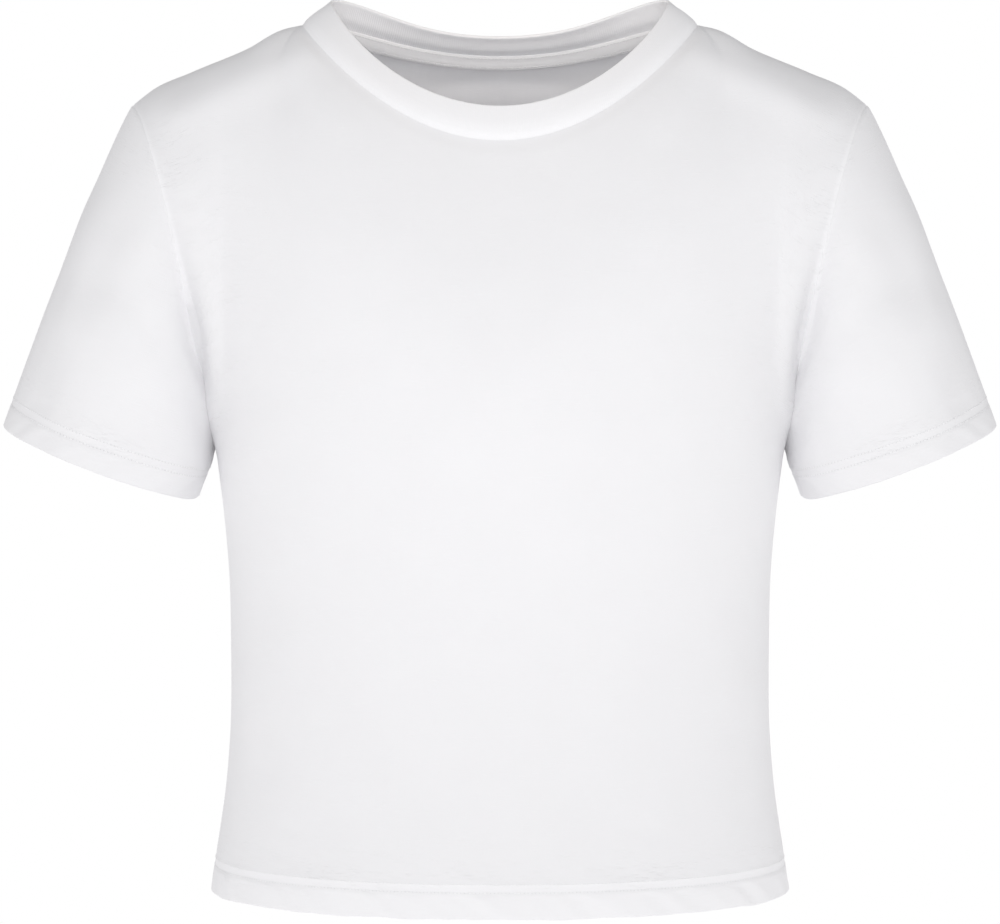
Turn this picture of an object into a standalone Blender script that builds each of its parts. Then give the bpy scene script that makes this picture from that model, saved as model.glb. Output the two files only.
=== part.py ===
"""Crop top: a short T-shirt of light cotton jersey, filled out as it is worn.

A front and a back panel meet at the side seams and at the shoulders, a short set-in sleeve
fills each armhole, a folded rib band finishes the round neck and a tape covers the back neck
seam inside. Every piece is a thin wall of its own, parted from its neighbours by the seam gap.

Metres, +Z up, the front faces -Y. The origin lies midway between the two neck ends of the
shoulder seams, where a wearer's shoulders carry the garment.
"""

from collections import namedtuple

import bmesh
import bpy
import numpy as np

# Cloth
WALL = 0.0012
HEM_WALL = 0.0024
BAND_WALL = 0.0024
TAPE_WALL = 0.0009
SEAM_GAP = 0.0003
TAPE_GAP = 0.0006
HEM_TALL = 0.0165
CUFF_HEM_TALL = 0.018
BAND_TALL = 0.020
TAPE_WIDE = 0.010

# Body, hem to underarm
HEM_Z = -0.4785
UNDERARM_Z = -0.229
SIDE_Y = -0.010
ROUNDING = 2.1

Level = namedtuple("Level", "z half_width front back")
BODY_LEVELS = (
    Level(z=-0.4785, half_width=0.1608, front=-0.117, back=0.089),
    Level(z=-0.455, half_width=0.1572, front=-0.115, back=0.086),
    Level(z=-0.420, half_width=0.1521, front=-0.113, back=0.081),
    Level(z=-0.385, half_width=0.1494, front=-0.113, back=0.078),
    Level(z=-0.340, half_width=0.1492, front=-0.115, back=0.078),
    Level(z=-0.300, half_width=0.1500, front=-0.119, back=0.083),
    Level(z=-0.265, half_width=0.1529, front=-0.123, back=0.089),
    Level(z=-0.229, half_width=0.1570, front=-0.125, back=0.094),
)

# Shoulder seam, neck end to sleeve end
ShoulderPoint = namedtuple("ShoulderPoint", "x z")
SHOULDER_SEAM = (
    ShoulderPoint(x=0.1090, z=0.0000),
    ShoulderPoint(x=0.1190, z=-0.0022),
    ShoulderPoint(x=0.1380, z=-0.0125),
    ShoulderPoint(x=0.1700, z=-0.0258),
    ShoulderPoint(x=0.1920, z=-0.0355),
    ShoulderPoint(x=0.2030, z=-0.0440),
)
NECK_HALF_WIDTH = SHOULDER_SEAM[0].x

# What differs between the two body panels. Angles in degrees: leans are measured from the
# vertical, at the centre line and at the shoulder seam.
Panel = namedtuple(
    "Panel",
    "facing neck_deep neck_drop neck_curve neck_fan lean_centre lean_side neck_reach chest_reach",
)
PANELS = {
    "front": Panel(
        facing=-1,
        neck_deep=0.076,
        neck_drop=0.0635,
        neck_curve=1.95,
        neck_fan=14,
        lean_centre=24,
        lean_side=65,
        neck_reach=0.050,
        chest_reach=0.072,
    ),
    "back": Panel(
        facing=1,
        neck_deep=0.052,
        neck_drop=0.0172,
        neck_curve=2.8,
        neck_fan=10,
        lean_centre=52,
        lean_side=65,
        neck_reach=0.055,
        chest_reach=0.085,
    ),
}

# Armholes: how far each curve runs on from its two ends
SCOOP_REACH = 0.084
SCOOP_RISE = 40.0
SCOOP_FROM = 0.70
CROWN_REACH = 0.072
CROWN_INWARD = 0.22
CROWN_DROP = 0.12
CROWN_FROM = 0.4
SHOULDER_REACH = 0.070

# Where neck and shoulder seam meet, the rows are turned towards the sleeve
CORNER_TURN = 25.0
CORNER_REACH = 0.072
CORNER_UNTIL = 0.7

# Neckband lean from the vertical, inwards, in degrees; upright takes some of it off between a
# panel's centre line and the shoulder seam.
BandLean = namedtuple("BandLean", "centre shoulder upright")
BAND_LEANS = {
    "front": BandLean(centre=22.0, shoulder=54.0, upright=0.0),
    "back": BandLean(centre=54.0, shoulder=54.0, upright=34.0),
}
BAND_PROUD = 0.0003
BAND_CROWN = 0.0008

# Sleeves: the cuff is an ellipse square to the sleeve's axis
CUFF_CENTRE = (0.2207, -0.010, -0.2407)
CUFF_HALF_WIDTH = 0.0573
CUFF_HALF_DEPTH = 0.050
CUFF_TILT = 20.0
CUFF_FORWARD = -2.7

# How the sleeve leaves the armhole, from underarm (around 0) to shoulder tip (around 1);
# heading is outwards, forwards and up, and reach says how far each curve holds it.
SleeveLine = namedtuple("SleeveLine", "around out forward up reach cuff_reach")
SLEEVE_FRONT = (
    SleeveLine(around=0.00, out=0.40, forward=0.00, up=-0.92, reach=0.008, cuff_reach=0.006),
    SleeveLine(around=0.20, out=0.35, forward=0.45, up=-0.85, reach=0.022, cuff_reach=0.012),
    SleeveLine(around=0.45, out=0.50, forward=0.50, up=-0.72, reach=0.040, cuff_reach=0.030),
    SleeveLine(around=0.75, out=0.55, forward=0.25, up=-0.76, reach=0.034, cuff_reach=0.055),
    SleeveLine(around=1.00, out=0.55, forward=0.00, up=-0.83, reach=0.022, cuff_reach=0.050),
)
SLEEVE_BACK = (
    SleeveLine(around=0.00, out=0.40, forward=0.00, up=-0.92, reach=0.008, cuff_reach=0.006),
    SleeveLine(around=0.20, out=0.35, forward=-0.45, up=-0.85, reach=0.022, cuff_reach=0.012),
    SleeveLine(around=0.45, out=0.50, forward=-0.48, up=-0.72, reach=0.040, cuff_reach=0.030),
    SleeveLine(around=0.75, out=0.55, forward=-0.22, up=-0.76, reach=0.034, cuff_reach=0.055),
    SleeveLine(around=1.00, out=0.55, forward=0.00, up=-0.83, reach=0.022, cuff_reach=0.050),
)

# Soft drag folds of the body panels: a line in the panel's width and height, the depth of the
# trough (a ridge where it is negative) and its half width.
Fold = namedtuple("Fold", "panel x1 z1 x2 z2 depth spread")
FOLDS = (
    Fold(panel="front", x1=0.160, z1=-0.135, x2=0.148, z2=-0.215, depth=0.0030, spread=0.012),
    Fold(panel="back", x1=0.158, z1=-0.130, x2=0.146, z2=-0.215, depth=0.0030, spread=0.013),
    Fold(panel="front", x1=0.128, z1=-0.225, x2=0.085, z2=-0.300, depth=-0.0012, spread=0.020),
    Fold(panel="back", x1=0.128, z1=-0.235, x2=0.080, z2=-0.320, depth=-0.0014, spread=0.020),
)

# How finely each piece is divided
NECK_COLUMNS = 11
SHOULDER_COLUMNS = 8
NECK_SHARE = 0.57
HEM_ROWS = 2
LOWER_ROWS = 8
UPPER_ROWS = 14
SLEEVE_ROWS = 10
CUFF_ROWS = 2
STEP_TALL = 0.001
FINE_COLUMNS = 300
RING_POINTS = 241
TABLE_STEP = 0.004
SHARE_STEP = 0.01
SEAM_STEP = 0.001

# Rounding of the rows under the neck's corners: its width and how near the armhole it ends, in
# shares of half a panel, and where it sets in below the top and above the chest
SOFT_WIDTH = 0.055
SOFT_EDGE = 0.22
SOFT_FROM_TOP = 0.35
SOFT_FROM_CHEST = 0.15
FADE_STEPS = 3

BAND_STEPS = (0.0, 0.007, 0.014)
FOLD_STEPS = 4
TAPE_ROWS = 2
MITRE_LIMIT = 0.6
SHARP_ANGLE = 40.0

# Places in a panel's grid: rows from the hem up, columns from -X to +X
CHEST_ROW = HEM_ROWS + 1 + LOWER_ROWS
COLUMNS = 2 * (NECK_COLUMNS + SHOULDER_COLUMNS)
NECK_LEFT = SHOULDER_COLUMNS
NECK_RIGHT = COLUMNS - SHOULDER_COLUMNS
FORWARD = np.array([0.0, -1.0, 0.0])
MIRROR = np.array([-1.0, 1.0, 1.0])

Finish = namedtuple("Finish", "colour roughness")
JERSEY = Finish(colour=(0.86, 0.86, 0.88), roughness=0.9)
RIB = Finish(colour=(0.88, 0.88, 0.90), roughness=0.9)
TAPE = Finish(colour=(0.82, 0.82, 0.84), roughness=0.9)


def unit(vectors):
    """Scales vectors to length one."""
    vectors = np.asarray(vectors, dtype=float)
    return vectors / np.linalg.norm(vectors, axis=-1, keepdims=True)


def ease(value):
    """Goes smoothly from 0 to 1 as the value does."""
    value = np.clip(value, 0.0, 1.0)
    return value * value * (3.0 - 2.0 * value)


def read_table(table, key, column, value):
    """Reads a column of a table where its key column has a value, along a smooth curve."""
    keys = np.array([getattr(row, key) for row in table])
    sizes = np.array([getattr(row, column) for row in table])
    slopes = np.gradient(sizes, keys)
    index = int(np.clip(np.searchsorted(keys, value) - 1, 0, len(keys) - 2))
    span = keys[index + 1] - keys[index]
    t = (value - keys[index]) / span
    start = (1.0 + 2.0 * t) * (1.0 - t) ** 2 * sizes[index] + t * (1.0 - t) ** 2 * span * slopes[index]
    end = t * t * (3.0 - 2.0 * t) * sizes[index + 1] + t * t * (t - 1.0) * span * slopes[index + 1]
    return start + end


def bezier(points, t):
    """A cubic through its first and last point, held by the two between."""
    a, b, c, d = points
    s = 1.0 - t
    return s**3 * a + 3.0 * s * s * t * b + 3.0 * s * t * t * c + t**3 * d


def column_shares():
    """Where the columns of half a panel stand, from the centre line to the side seam."""
    neck = np.linspace(0.0, NECK_SHARE, NECK_COLUMNS + 1)
    shoulder = np.linspace(NECK_SHARE, 1.0, SHOULDER_COLUMNS + 1)[1:]
    return np.concatenate([neck, shoulder])


def ring(panel, z, shares):
    """Half of one side of the body at a height: points from the centre line to the side seam."""
    half_width = read_table(BODY_LEVELS, "z", "half_width", z)
    column = "front" if panel.facing < 0 else "back"
    deep = abs(read_table(BODY_LEVELS, "z", column, z) - SIDE_Y)
    angles = np.linspace(0.0, np.pi / 2.0, RING_POINTS)
    radius = (np.sin(angles) / half_width) ** ROUNDING + (np.cos(angles) / deep) ** ROUNDING
    radius = radius ** (-1.0 / ROUNDING)
    x = radius * np.sin(angles)
    y = SIDE_Y + panel.facing * radius * np.cos(angles)
    lengths = np.concatenate([[0.0], np.cumsum(np.hypot(np.diff(x), np.diff(y)))])
    wanted = np.asarray(shares) * lengths[-1]
    return np.stack(
        [np.interp(wanted, lengths, x), np.interp(wanted, lengths, y), np.full(len(wanted), z)], axis=1
    )


def neck_point(panel, turn):
    """The neck seam, from the centre line (turn 0) to the shoulder seam (turn 90 degrees)."""
    return np.array(
        [
            NECK_HALF_WIDTH * np.sin(turn),
            panel.facing * panel.neck_deep * np.cos(turn),
            -panel.neck_drop * abs(np.cos(turn)) ** panel.neck_curve,
        ]
    )


def neck_outward(panel, turn):
    """Level direction square to the neck seam, away from the neck."""
    return unit([np.sin(turn) / NECK_HALF_WIDTH, panel.facing * np.cos(turn) / panel.neck_deep, 0.0])


def shoulder_point(share):
    """The shoulder seam, from the neck (share 0) to the sleeve (share 1)."""
    ends = SHOULDER_SEAM[0].x, SHOULDER_SEAM[-1].x
    x = ends[0] + (ends[1] - ends[0]) * share
    return np.array([x, 0.0, read_table(SHOULDER_SEAM, "x", "z", x)])


def below_neck(panel, turn):
    """Point of the neck seam, and the direction and reach with which cloth comes down from it."""
    blend = np.sin(turn) ** 2
    lean = np.radians(panel.lean_centre + (panel.lean_side - panel.lean_centre) * blend)
    down = neck_outward(panel, turn) * np.sin(lean) - np.array([0.0, 0.0, np.cos(lean)])
    seam = neck_point(panel, turn + SEAM_STEP) - neck_point(panel, turn - SEAM_STEP)
    normal = np.cross(seam, down)
    heading = np.radians(panel.neck_fan * np.sin(2.0 * turn) + CORNER_TURN * blend)
    level = np.array([np.sin(heading), panel.facing * np.cos(heading), 0.0])
    level[2] = -(normal[0] * level[0] + normal[1] * level[1]) / normal[2]
    reach = panel.neck_reach + (CORNER_REACH - panel.neck_reach) * ease(turn / (np.pi / 2.0))
    return neck_point(panel, turn), unit(level), reach


def below_shoulder(panel, along):
    """The same for the shoulder seam, from the neck (along 0) to the sleeve (along 1)."""
    ends = min(along + SEAM_STEP, 1.0), max(along - SEAM_STEP, 0.0)
    seam = unit(shoulder_point(ends[0]) - shoulder_point(ends[1]))
    corner = 1.0 - ease(along / CORNER_UNTIL)
    crown = ease((along - CROWN_FROM) / (1.0 - CROWN_FROM))
    heading = np.radians(CORNER_TURN) * corner
    down = seam * np.sin(heading) + np.array([0.0, panel.facing * np.cos(heading), 0.0])
    down = down - crown * np.array([CROWN_INWARD, 0.0, CROWN_DROP])
    reach = SHOULDER_REACH + corner * (CORNER_REACH - SHOULDER_REACH)
    reach += crown * (CROWN_REACH - SHOULDER_REACH)
    return shoulder_point(along), unit(down), reach


def top_of_column(panel, share):
    """End point, and the direction and reach with which a column comes down from it."""
    if share <= NECK_SHARE:
        return below_neck(panel, np.pi / 2.0 * share / NECK_SHARE)
    return below_shoulder(panel, (share - NECK_SHARE) / (1.0 - NECK_SHARE))


def column_path(panel, share):
    """The four points of a column's curve, from the underarm level to the neck or shoulder."""
    beside, foot = ring(panel, UNDERARM_Z, [max(share - SHARE_STEP, 0.0), share])
    rising = unit(foot - ring(panel, UNDERARM_Z - TABLE_STEP, [share])[0])
    scoop = ease((share - SCOOP_FROM) / (1.0 - SCOOP_FROM))
    lower = np.cos(np.radians(90.0 - SCOOP_RISE) * scoop) * rising
    if scoop > 0.0:
        lower += np.sin(np.radians(90.0 - SCOOP_RISE) * scoop) * unit(beside - foot)
    lower = foot + (panel.chest_reach + (SCOOP_REACH - panel.chest_reach) * scoop) * lower
    head, down, top_reach = top_of_column(panel, share)
    return np.array([foot, lower, head + top_reach * down, head])


def soften(line, shares, width):
    """Rounds a row over a width, so the neck's corner at the shoulder leaves no ridge below it."""
    count = len(shares) - 1
    reach = int(np.ceil(3.0 * width * count))
    if reach == 0:
        return line
    weights = np.exp(-0.5 * (np.arange(-reach, reach + 1) / (width * count)) ** 2)
    weights /= weights.sum()
    mirrored = line[reach:0:-1] * MIRROR
    padded = np.concatenate([mirrored, line, np.repeat(line[-1:], reach, axis=0)])
    smooth = np.stack([np.convolve(padded[:, axis], weights, "valid") for axis in range(3)], axis=1)
    keep = ease((1.0 - shares) / SOFT_EDGE)[:, None]
    return line + (smooth - line) * keep


def upper_rows(panel, shares, heights):
    """Rows of half a panel above the underarm level; heights go from 0 there to 1 at the top."""
    fine = np.linspace(0.0, 1.0, FINE_COLUMNS + 1)
    paths = np.array([column_path(panel, share) for share in fine]).transpose(1, 0, 2)
    rows = []
    for t in heights:
        if t == 1.0:
            rows.append(np.array([top_of_column(panel, share)[0] for share in shares]))
            continue
        width = SOFT_WIDTH * ease((1.0 - t) / SOFT_FROM_TOP) * ease(t / SOFT_FROM_CHEST)
        line = soften(bezier(paths, t), fine, width)
        rows.append(np.stack([np.interp(shares, fine, line[:, axis]) for axis in range(3)], axis=1))
    return np.array(rows)


def fold_depth(name, points):
    """How far the drag folds push each point in, in metres."""
    depth = np.zeros(points.shape[:-1])
    for fold in FOLDS:
        if fold.panel != name:
            continue
        start = np.array([fold.x1, fold.z1])
        run = np.array([fold.x2, fold.z2]) - start
        flat = np.stack([np.abs(points[..., 0]), points[..., 2]], axis=-1)
        along = np.clip((flat - start) @ run / (run @ run), 0.0, 1.0)
        away = np.linalg.norm(flat - start - along[..., None] * run, axis=-1)
        depth += fold.depth * np.exp(-((away / fold.spread) ** 2))
    return depth


def row_heights():
    """Heights of the body's rows from the hem up to the underarm."""
    hem = np.linspace(HEM_Z, HEM_Z + HEM_TALL, HEM_ROWS + 1)
    body = np.linspace(HEM_Z + HEM_TALL + STEP_TALL, UNDERARM_Z, LOWER_ROWS + 1)
    return np.concatenate([hem, body])


def panel_skin(name):
    """Outer points of a body panel: rows from the hem up, columns from -X to +X."""
    panel = PANELS[name]
    shares = column_shares()
    lower = np.array([ring(panel, z, shares) for z in row_heights()])
    heights = np.linspace(0.0, 1.0, UPPER_ROWS + 1)[1:]
    upper = upper_rows(panel, shares, heights)
    half = np.concatenate([lower, upper], axis=0)
    mirrored = half[:, :0:-1] * MIRROR
    points = np.concatenate([mirrored, half], axis=1)
    depth = fold_depth(name, points) * seam_fade(points.shape[:2])
    return points - depth[..., None] * grid_normals(points, -panel.facing)


def seam_fade(shape):
    """1 in the middle of a panel's grid and 0 on its seams, so that seams stay matched."""
    rows, columns = np.indices(shape)
    from_side = np.minimum(columns, shape[1] - 1 - columns)
    from_top = shape[0] - 1 - rows
    return ease(from_side / FADE_STEPS) * ease(from_top / FADE_STEPS)


def grid_normals(points, sense, wrap=False):
    """Unit normals of a grid; sense is 1 where columns by rows points outwards."""
    if wrap:
        across = np.roll(points, -1, axis=1) - np.roll(points, 1, axis=1)
    else:
        across = np.gradient(points, axis=1)
    along = np.gradient(points, axis=0)
    return unit(sense * np.cross(across, along))


def armhole(skin):
    """The +X armhole edge of a panel's skin, from underarm to shoulder tip."""
    return skin[CHEST_ROW:, -1]


def shares_along(edge):
    """How far along an edge each of its points lies, from 0 to 1."""
    lengths = np.concatenate([[0.0], np.cumsum(np.linalg.norm(np.diff(edge, axis=0), axis=1))])
    return lengths / lengths[-1]


def cuff_axes():
    """Axis of the +X cuff, down the arm, and the two level-ish directions square to it."""
    tilt, forward = np.radians(CUFF_TILT), np.radians(CUFF_FORWARD)
    axis = unit([np.sin(tilt), -np.sin(forward), -np.cos(tilt)])
    outward = unit(np.cross([0.0, 1.0, 0.0], axis) * -1.0)
    backward = unit(np.cross(axis, outward))
    return axis, outward * np.sign(outward[0]), backward * np.sign(backward[1])


def sleeve_column(start, around, side, table):
    """One line of the +X sleeve, from an armhole point down to the cuff's edge."""
    axis, outward, backward = cuff_axes()
    turn = np.pi * around
    cuff = np.array(CUFF_CENTRE) - np.cos(turn) * CUFF_HALF_WIDTH * outward
    cuff = cuff + side * np.sin(turn) * CUFF_HALF_DEPTH * backward
    hem = cuff - axis * CUFF_HEM_TALL
    line = {key: read_table(table, "around", key, around) for key in SleeveLine._fields[1:]}
    heading = unit([line["out"], -line["forward"], line["up"]])
    path = (start, start + line["reach"] * heading, hem - line["cuff_reach"] * axis, hem)
    cap = [bezier(path, t) for t in np.linspace(0.0, 1.0, SLEEVE_ROWS + 1)]
    step = [hem + axis * STEP_TALL]
    turned_up = [hem + (cuff - hem) * t for t in np.linspace(0.0, 1.0, CUFF_ROWS + 1)[1:]]
    return cap + step + turned_up


def sleeve_skin(front_skin, back_skin):
    """Outer points of the +X sleeve: rows from armhole to cuff, columns round from the underarm."""
    columns = []
    for skin, side, table in ((front_skin, -1.0, SLEEVE_FRONT), (back_skin, 1.0, SLEEVE_BACK)):
        edge = armhole(skin)
        lines = [
            sleeve_column(point, around, side, table) for point, around in zip(edge, shares_along(edge))
        ]
        columns += lines if side < 0.0 else lines[-2:0:-1]
    return np.array(columns).transpose(1, 0, 2)


class Wall:
    """Outer points of one piece, with the way in from each to its inner point."""

    def __init__(self, skin, sense, wrap, thickness):
        self.skin = skin
        self.depth = np.repeat(np.array(thickness)[:, None], skin.shape[1], axis=1)
        self.normals = grid_normals(skin, sense, wrap)
        self.shift = np.zeros(skin.shape)

    def outer(self):
        """Outer points, drawn back from the seams by half the gap."""
        return self.skin + self.shift

    def inner(self):
        """Inner points, one wall further in."""
        return self.outer() - self.normals * self.depth[..., None]

    def draw_back(self, where, inward):
        """Moves points of an edge into the piece by half the seam gap."""
        self.shift[where] += inward * SEAM_GAP / 2.0

    def meet(self, where, mean, inward):
        """Gives an edge its seam's mean normals, the wall mitred to them, and the seam gap."""
        own = np.sum(self.normals[where] * mean, axis=-1)
        self.depth[where] /= np.clip(own, MITRE_LIMIT, 1.0)
        self.normals[where] = mean
        self.draw_back(where, inward)


def seam_sides(seam, mean, inside):
    """Ways in the cloth from a closed seam to a piece's inside points, mitred at its bends."""
    ahead = unit(np.roll(seam, -1, axis=0) - seam)
    behind = np.roll(ahead, 1, axis=0)
    run = unit(ahead + behind)
    sides = unit(np.cross(run, mean)) / np.sum(run * ahead, axis=-1, keepdims=True)
    return sides * np.sign(np.sum((inside - seam) * sides, axis=-1, keepdims=True))


def sew_sleeve(front, back, sleeve):
    """Matches the sleeve and both armhole edges along the armhole, on both sides of the body."""
    edge = np.arange(UPPER_ROWS + 1)
    panel_normals = np.concatenate(
        [front.normals[CHEST_ROW:, -1], back.normals[CHEST_ROW:, -1][-2:0:-1]]
    )
    for end in (0, UPPER_ROWS):
        panel_normals[end] = unit(
            front.normals[CHEST_ROW + end, -1] + back.normals[CHEST_ROW + end, -1]
        )
    mean = unit(panel_normals + sleeve.normals[0])
    into = seam_sides(sleeve.skin[0], mean, sleeve.skin[1])
    sleeve.meet((0, slice(None)), mean, into)
    for panel, order in ((front, edge), (back, -edge % (2 * UPPER_ROWS))):
        for column, mirror in ((-1, 1.0), (0, MIRROR)):
            panel.meet((CHEST_ROW + edge, column), mean[order] * mirror, -into[order] * mirror)


def sew_sides(front, back):
    """Matches the panels along the side seams, hem to underarm."""
    low = np.arange(CHEST_ROW)
    for column, outward in ((-1, [1.0, 0.0, 0.0]), (0, [-1.0, 0.0, 0.0])):
        mean = np.tile(outward, (CHEST_ROW, 1))
        for panel, inward in ((front, FORWARD), (back, -FORWARD)):
            panel.meet((low, column), mean, np.tile(inward, (CHEST_ROW, 1)))
            panel.draw_back((CHEST_ROW, column), inward)


def sew_shoulders(front, back):
    """Matches the panels along the shoulder seams."""
    for columns in (np.arange(NECK_RIGHT + 1, COLUMNS), np.arange(1, NECK_LEFT)):
        mean = unit(front.normals[-1, columns] + back.normals[-1, columns])
        for panel, inward in ((front, FORWARD), (back, -FORWARD)):
            panel.meet((-1, columns), mean, np.tile(inward, (len(columns), 1)))
    for column in (0, NECK_LEFT, NECK_RIGHT, -1):
        front.draw_back((-1, column), FORWARD)
        back.draw_back((-1, column), -FORWARD)


def band_side(name):
    """Neck seam points and the band's rising directions along one panel, from -X to +X."""
    panel, leans = PANELS[name], BAND_LEANS[name]
    seam, rising = [], []
    for turn in np.linspace(-np.pi / 2.0, np.pi / 2.0, 2 * NECK_COLUMNS + 1):
        lean = leans.centre + (leans.shoulder - leans.centre) * np.sin(turn) ** 2
        lean = np.radians(lean - leans.upright * (np.sin(2.0 * turn) * np.sin(turn)) ** 2)
        seam.append(neck_point(panel, turn))
        rising.append(np.array([0.0, 0.0, np.cos(lean)]) - neck_outward(panel, turn) * np.sin(lean))
    return np.array(seam), unit(rising)


def sew_neck(front, back):
    """Matches the panels and the band round the neck; returns the band's seam and directions."""
    columns = np.arange(NECK_LEFT, NECK_RIGHT + 1)
    front_seam, front_rising = band_side("front")
    back_seam, back_rising = band_side("back")
    seam = np.concatenate([front_seam, back_seam[-2:0:-1]])
    rising = np.concatenate([front_rising, back_rising[-2:0:-1]])
    cloth = np.concatenate([front.normals[-1, columns], back.normals[-1, columns[-2:0:-1]]])
    for place, column in ((0, NECK_LEFT), (len(columns) - 1, NECK_RIGHT)):
        cloth[place] = unit(front.normals[-1, column] + back.normals[-1, column])
    facing = unit(seam_sides(seam, rising, seam + cloth))
    mean = unit(cloth + facing)
    into = seam_sides(seam, mean, seam + rising)
    front.meet((-1, columns), mean[: len(columns)], -into[: len(columns)])
    back.meet((-1, columns[-2:0:-1]), mean[len(columns) :], -into[len(columns) :])
    for place, column in ((0, NECK_LEFT), (len(columns) - 1, NECK_RIGHT)):
        back.meet((-1, column), mean[place], -into[place])
    return seam, rising, facing, mean, into


def band_section():
    """Height up the band and depth below its face, from the seam over the fold and back down."""
    half = BAND_WALL / 2.0
    face = [(height, -BAND_CROWN * np.sin(np.pi * height / BAND_TALL)) for height in BAND_STEPS]
    fold = [
        (BAND_TALL - half + half * np.cos(turn), half + half * np.sin(turn))
        for turn in np.linspace(-np.pi / 2.0, np.pi / 2.0, FOLD_STEPS)
    ]
    lining = [(height, BAND_WALL) for height in reversed(BAND_STEPS)]
    return face + fold + lining


def neckband_rings(seam, rising, facing, mean, into):
    """Rings of points round the neck, one for each point of the band's section."""
    foot = seam + into * SEAM_GAP / 2.0
    rings = []
    for height, depth in band_section():
        way = mean if height == 0.0 else facing
        rings.append(foot + rising * height + way * (BAND_PROUD - depth))
    return np.array(rings)


def neck_tape(back, mean, into):
    """Outer and inner points of the tape, laid on the back panel's inner points."""
    inner = back.inner()
    columns = np.arange(NECK_LEFT, NECK_RIGHT + 1)
    order = -np.arange(len(columns)) % len(mean)
    rows = []
    for column, place in zip(columns, order):
        steps = inner[-1, column] - inner[[-1, -2, -3], column]
        wide = np.interp(TAPE_WIDE, steps @ into[place], [0.0, 1.0, 2.0])
        line = []
        for share in np.linspace(wide, 0.0, TAPE_ROWS + 1):
            above = min(int(share), 1)
            part = share - above
            spot = [
                grid[-1 - above, column] * (1.0 - part) + grid[-2 - above, column] * part
                for grid in (inner, back.normals)
            ]
            line.append((spot[0] - unit(spot[1]) * TAPE_GAP, unit(spot[1])))
        rows.append(line)
    points = np.array(rows).transpose(1, 0, 2, 3)
    return points[:, :, 0], points[:, :, 0] - points[:, :, 1] * TAPE_WALL


def add_quad(mesh, a, b, c, d):
    """Two triangles over four corners, split the same way on both sides of a wall."""
    mesh.faces.new((a, b, c))
    mesh.faces.new((a, c, d))


def add_edge(mesh, outer_a, outer_b, inner_a, inner_b):
    """Two triangles through the wall at an edge, split alike on the two pieces that meet there."""
    if outer_a.co.z < outer_b.co.z:
        outer_a, outer_b, inner_a, inner_b = outer_b, outer_a, inner_b, inner_a
    add_quad(mesh, outer_a, outer_b, inner_b, inner_a)


def wall_mesh(outer, inner, wrap):
    """Mesh of one closed wall between matching grids of outer and inner points."""
    mesh = bmesh.new()
    rows, columns = outer.shape[:2]
    out = [[mesh.verts.new(point) for point in row] for row in outer]
    lining = [[mesh.verts.new(point) for point in row] for row in inner]
    spans = [(j, (j + 1) % columns) for j in range(columns if wrap else columns - 1)]
    for j, k in spans:
        near, far = (j, k) if 2 * j < columns - 1 else (k, j)
        for i in range(rows - 1):
            for grid in (out, lining):
                add_quad(mesh, grid[i][near], grid[i][far], grid[i + 1][far], grid[i + 1][near])
        for i in (0, rows - 1):
            add_edge(mesh, out[i][j], out[i][k], lining[i][j], lining[i][k])
    if not wrap:
        for j in (0, columns - 1):
            for i in range(rows - 1):
                add_edge(mesh, out[i][j], out[i + 1][j], lining[i][j], lining[i + 1][j])
    return mesh


def ring_mesh(rings):
    """Mesh of a closed ring whose section is closed too."""
    mesh = bmesh.new()
    verts = [[mesh.verts.new(point) for point in ring_points] for ring_points in rings]
    sections, count = rings.shape[:2]
    for j in range(count):
        k = (j + 1) % count
        for i in range(sections - 1):
            add_quad(mesh, verts[i][j], verts[i][k], verts[i + 1][k], verts[i + 1][j])
        add_edge(mesh, verts[0][j], verts[0][k], verts[-1][j], verts[-1][k])
    return mesh


def make_piece(name, mesh, finish):
    """Turns a mesh into a named, smooth-shaded object with its own material."""
    bmesh.ops.recalc_face_normals(mesh, faces=mesh.faces)
    data = bpy.data.meshes.new(name)
    mesh.to_mesh(data)
    mesh.free()
    data.shade_smooth()
    data.set_sharp_from_angle(angle=np.radians(SHARP_ANGLE))
    data.materials.append(cloth_material(name, finish))
    bpy.context.collection.objects.link(bpy.data.objects.new(name, data))


def cloth_material(name, finish):
    """A plain matt material for one piece."""
    material = bpy.data.materials.new(name + "_cloth")
    material.use_nodes = True
    shader = material.node_tree.nodes["Principled BSDF"]
    shader.inputs["Base Color"].default_value = (*finish.colour, 1.0)
    shader.inputs["Roughness"].default_value = finish.roughness
    shader.inputs["Metallic"].default_value = 0.0
    return material


def main():
    for old in list(bpy.data.objects):
        bpy.data.objects.remove(old, do_unlink=True)

    panel_walls = [HEM_WALL] * (HEM_ROWS + 1) + [WALL] * (LOWER_ROWS + 1 + UPPER_ROWS)
    front = Wall(panel_skin("front"), 1.0, False, panel_walls)
    back = Wall(panel_skin("back"), -1.0, False, panel_walls)
    sleeve_walls = [WALL] * (SLEEVE_ROWS + 1) + [HEM_WALL] * (CUFF_ROWS + 1)
    sleeve = Wall(sleeve_skin(front.skin, back.skin), -1.0, True, sleeve_walls)

    sew_sleeve(front, back, sleeve)
    sew_sides(front, back)
    sew_shoulders(front, back)
    seam, rising, facing, mean, into = sew_neck(front, back)

    make_piece("front", wall_mesh(front.outer(), front.inner(), wrap=False), JERSEY)
    make_piece("back", wall_mesh(back.outer(), back.inner(), wrap=False), JERSEY)
    for name, mirror in (("sleeve_left", 1.0), ("sleeve_right", MIRROR)):
        mesh = wall_mesh(sleeve.outer() * mirror, sleeve.inner() * mirror, wrap=True)
        make_piece(name, mesh, JERSEY)
    make_piece("neckband", ring_mesh(neckband_rings(seam, rising, facing, mean, into)), RIB)
    make_piece("neck_tape", wall_mesh(*neck_tape(back, mean, into), wrap=False), TAPE)


if __name__ == "__main__":
    main()
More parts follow.
